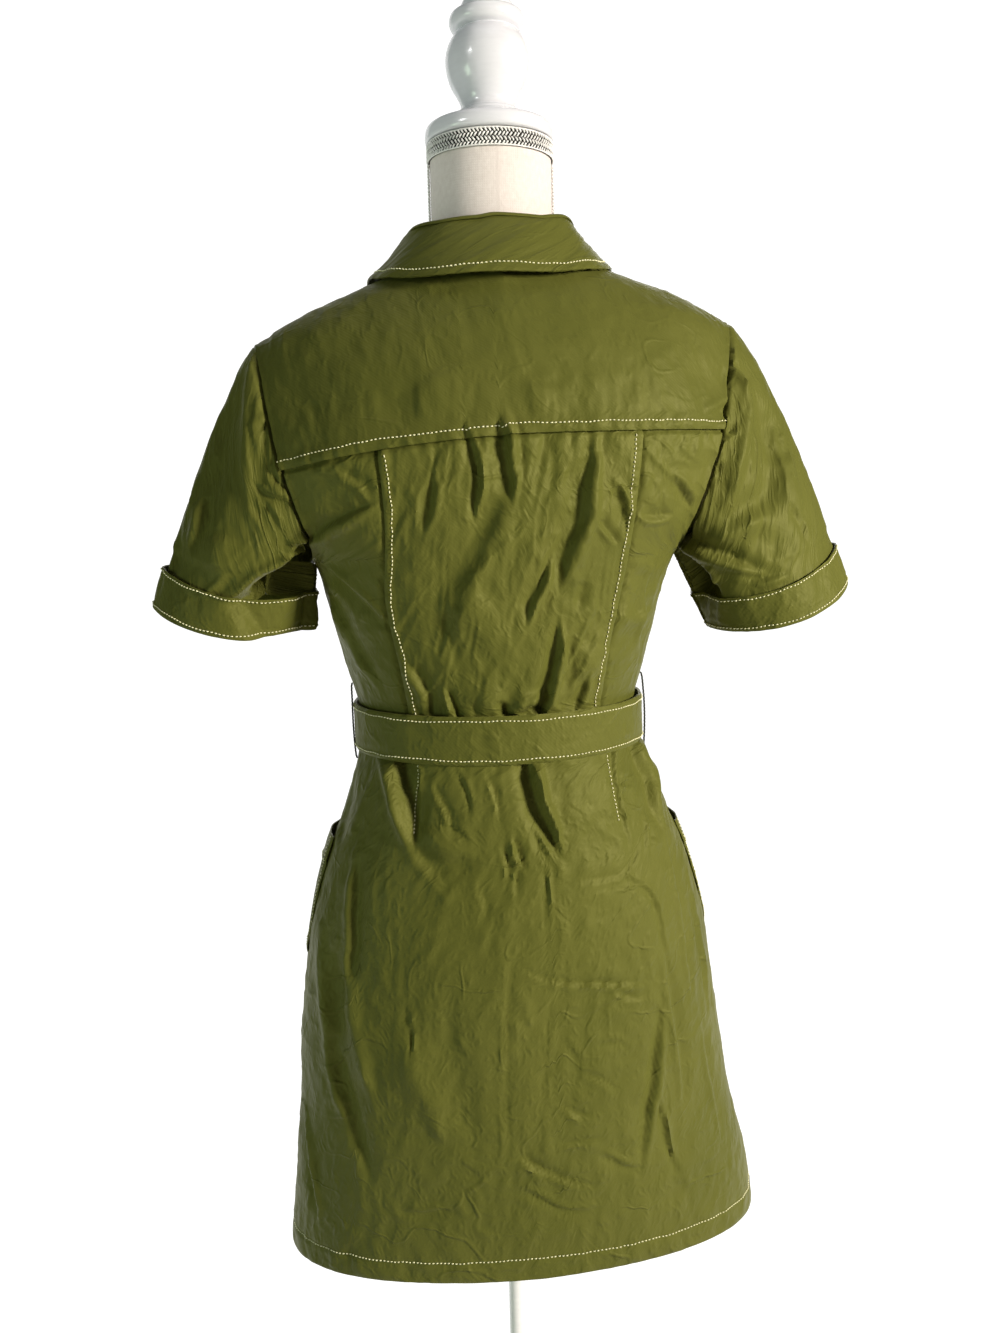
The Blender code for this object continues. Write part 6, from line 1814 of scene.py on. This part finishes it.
# %% [markdown]
# ## Turned and painted parts
# The finial is turned from one piece of wood: a bead at the foot, a vase-shaped ball, a waist, and a cap
# in two steps. It stands on a bevelled plate that closes the neck. The pole and the round base are plain.
# A lathe function sweeps each profile round the stand's axis.

# %% Turned parts
# height, radius
FINIAL_ROWS = mm(
    (1462.8, 44), (1464.2, 43.2), (1465.2, 39.5), (1466.4, 35.2), (1468.2, 32.2), (1470, 29),
    (1470.6, 27.2), (1471.6, 26.8), (1472.6, 26.2), (1473.8, 24), (1476, 22.8), (1479, 22.5),
    (1485, 25), (1494, 30.3), (1504, 33.2), (1512, 33.8), (1521, 32), (1529, 27.6), (1531.8, 25),
    (1532.8, 24), (1533.4, 25.2), (1535, 28.2), (1537.5, 29.7), (1542, 29.9), (1545, 28.4),
    (1546.6, 25), (1547.4, 22.2), (1548.4, 21.4), (1550, 21.2), (1554, 19.6), (1559, 15.6),
    (1561.5, 11), (1562.8, 5), (1563, 0.1))
PLATE_ROWS = mm((1449.8, 49), (1450.1, 50.5), (1451.3, 51.6), (1456, 51.7), (1459, 51.3), (1461.2, 50),
                (1462.2, 48.4), (1462.5, 44))
POLE_ROWS = mm((32.5, 7.5), (300, 7.5), (699.7, 7.5))
HUB_ROWS = mm((20.3, 25.5), (21.2, 26), (26, 25.5), (29, 22.5), (30.5, 17.5), (32.2, 14))
BASE_ROWS = mm((0, 162), (1.2, 164.2), (3.4, 165), (13, 165), (16.5, 163.6), (18.8, 160.2), (19.9, 153),
               (20, 140))
# node, (height, radius) table, paint, segments round it, rows made of each one in the table
for node, table, finish, segments, refine in (
        ("finial", FINIAL_ROWS, shaded_gloss, 96, 3), ("neck_plate", PLATE_ROWS, shaded_gloss, 112, 2),
        ("pole", POLE_ROWS, white_gloss, 40, 1), ("base_hub", HUB_ROWS, white_gloss, 72, 2),
        ("base", BASE_ROWS, white_gloss, 144, 2)):
    run = trail(np.array(table))
    rows = np.column_stack([run, table])
    t = np.unique(np.concatenate([np.linspace(a, b, refine + 1) for a, b in zip(run, run[1:])]))
    part = lathe(list(zip(read(rows, t, 2), read(rows, t, 1))), segments)
    placed(f"painted_{node}", [part], finish, [node], 40)

# %% Stitches in thread
make_stitches("seam_stitches", "seams")
make_stitches("small_stitches", "small")

# %% [markdown]
# ## Studio
# The dress stands on a pale floor, in front of a wide sheet of overlit white paper that comes down behind
# it. A hard-edged key light behind the camera, to its right, rakes across the folds. A weak cool light
# fills the left side, a narrow one lifts the finial, and one light from overhead and one from the front
# keep the hidden sides readable.

# %% Paper and floor
GLOW = 0.97
PAPER_HALF = 3.1
PAPER_FROM, PAPER_BACK, PAPER_BEND, PAPER_TOP = -0.1, -3.6, 1.2, 4.6

white_paper, _ = new_material("overlit_white_paper", Roughness=0.95, Base_Color=linear("#8C8C8C"),
                              Emission_Color=linear("#FFFFFF"), Emission_Strength=GLOW)
pale_floor, _ = new_material("pale_studio_floor", Roughness=0.9, Base_Color=linear("#CFCFCD"))
profile = [(PAPER_FROM, -0.001),
           *((PAPER_BACK + PAPER_BEND * (1 - math.sin(a)), PAPER_BEND * (1 - math.cos(a)) - 0.001)
             for a in np.linspace(0, math.pi / 2, 14)),
           (PAPER_BACK, PAPER_TOP)]
vertices = [(x, y, z) for y, z in profile for x in (-PAPER_HALF, PAPER_HALF)]
faces = [(2 * k, 2 * k + 1, 2 * k + 3, 2 * k + 2) for k in range(len(profile) - 1)]
new_object("studio_paper", vertices, faces, white_paper)
ring = [(4.5 * math.cos(a), 4.5 * math.sin(a), -0.004) for a in np.linspace(0, math.tau, 64, endpoint=False)]
new_object("studio_floor", ring, [list(range(64))], pale_floor)


# %% Lights
def light(name, kind, place, target, power, colour, **settings):
    """Light aimed at a point."""
    data = bpy.data.lights.new(name, kind)
    data.energy = power
    data.color = linear(colour)[:3]
    for setting, value in settings.items():
        setattr(data, setting, value)
    lamp = bpy.data.objects.new(name, data)
    lamp.location = place
    lamp.rotation_euler = (Vector(target) - Vector(place)).to_track_quat("-Z", "Y").to_euler()
    bpy.context.scene.collection.objects.link(lamp)


def soft_light(name, place, target, size, power, colour):
    light(name, "AREA", place, target, power, colour, shape="RECTANGLE", size=size[0], size_y=size[1])


soft_light("key", (-2.05, 1.58, 1.62), (0.0, 0.0, 1.0), (0.46, 0.64), 110.0, "#FFF8EA")
soft_light("fill", (2.2, 1.0, 0.8), (0.0, 0.0, 0.8), (0.6, 0.9), 15.0, "#D8F2D2")
soft_light("overhead", (0.1, 0.3, 3.2), (0.0, 0.0, 1.0), (1.4, 1.4), 5.0, "#FFFFFF")
soft_light("front", (-0.8, -2.4, 1.9), (0.0, 0.0, 1.0), (1.4, 1.6), 18.0, "#FFFFFF")
light("snoot", "SPOT", (1.7, 1.3, 2.1), (0.0, 0.0, 1.51), 100.0, "#FFFFFF",
      spot_size=math.radians(9.0), spot_blend=0.6, shadow_soft_size=0.25)
world = bpy.data.worlds.new("studio")
world.use_nodes = True
world.node_tree.nodes["Background"].inputs["Color"].default_value = linear("#F2F5FA")
world.node_tree.nodes["Background"].inputs["Strength"].default_value = 0.07
bpy.context.scene.world = world
bpy.context.scene.view_settings.view_transform = "Standard"


made = [o for o in bpy.data.objects if o.type == "MESH" and not o.hide_render]
counts = {o.name: sum(len(p.vertices) - 2 for p in o.data.polygons) for o in made}
print("triangles:", sum(counts.values()))
print("largest pieces:", sorted(counts.items(), key=lambda c: -c[1])[:3])
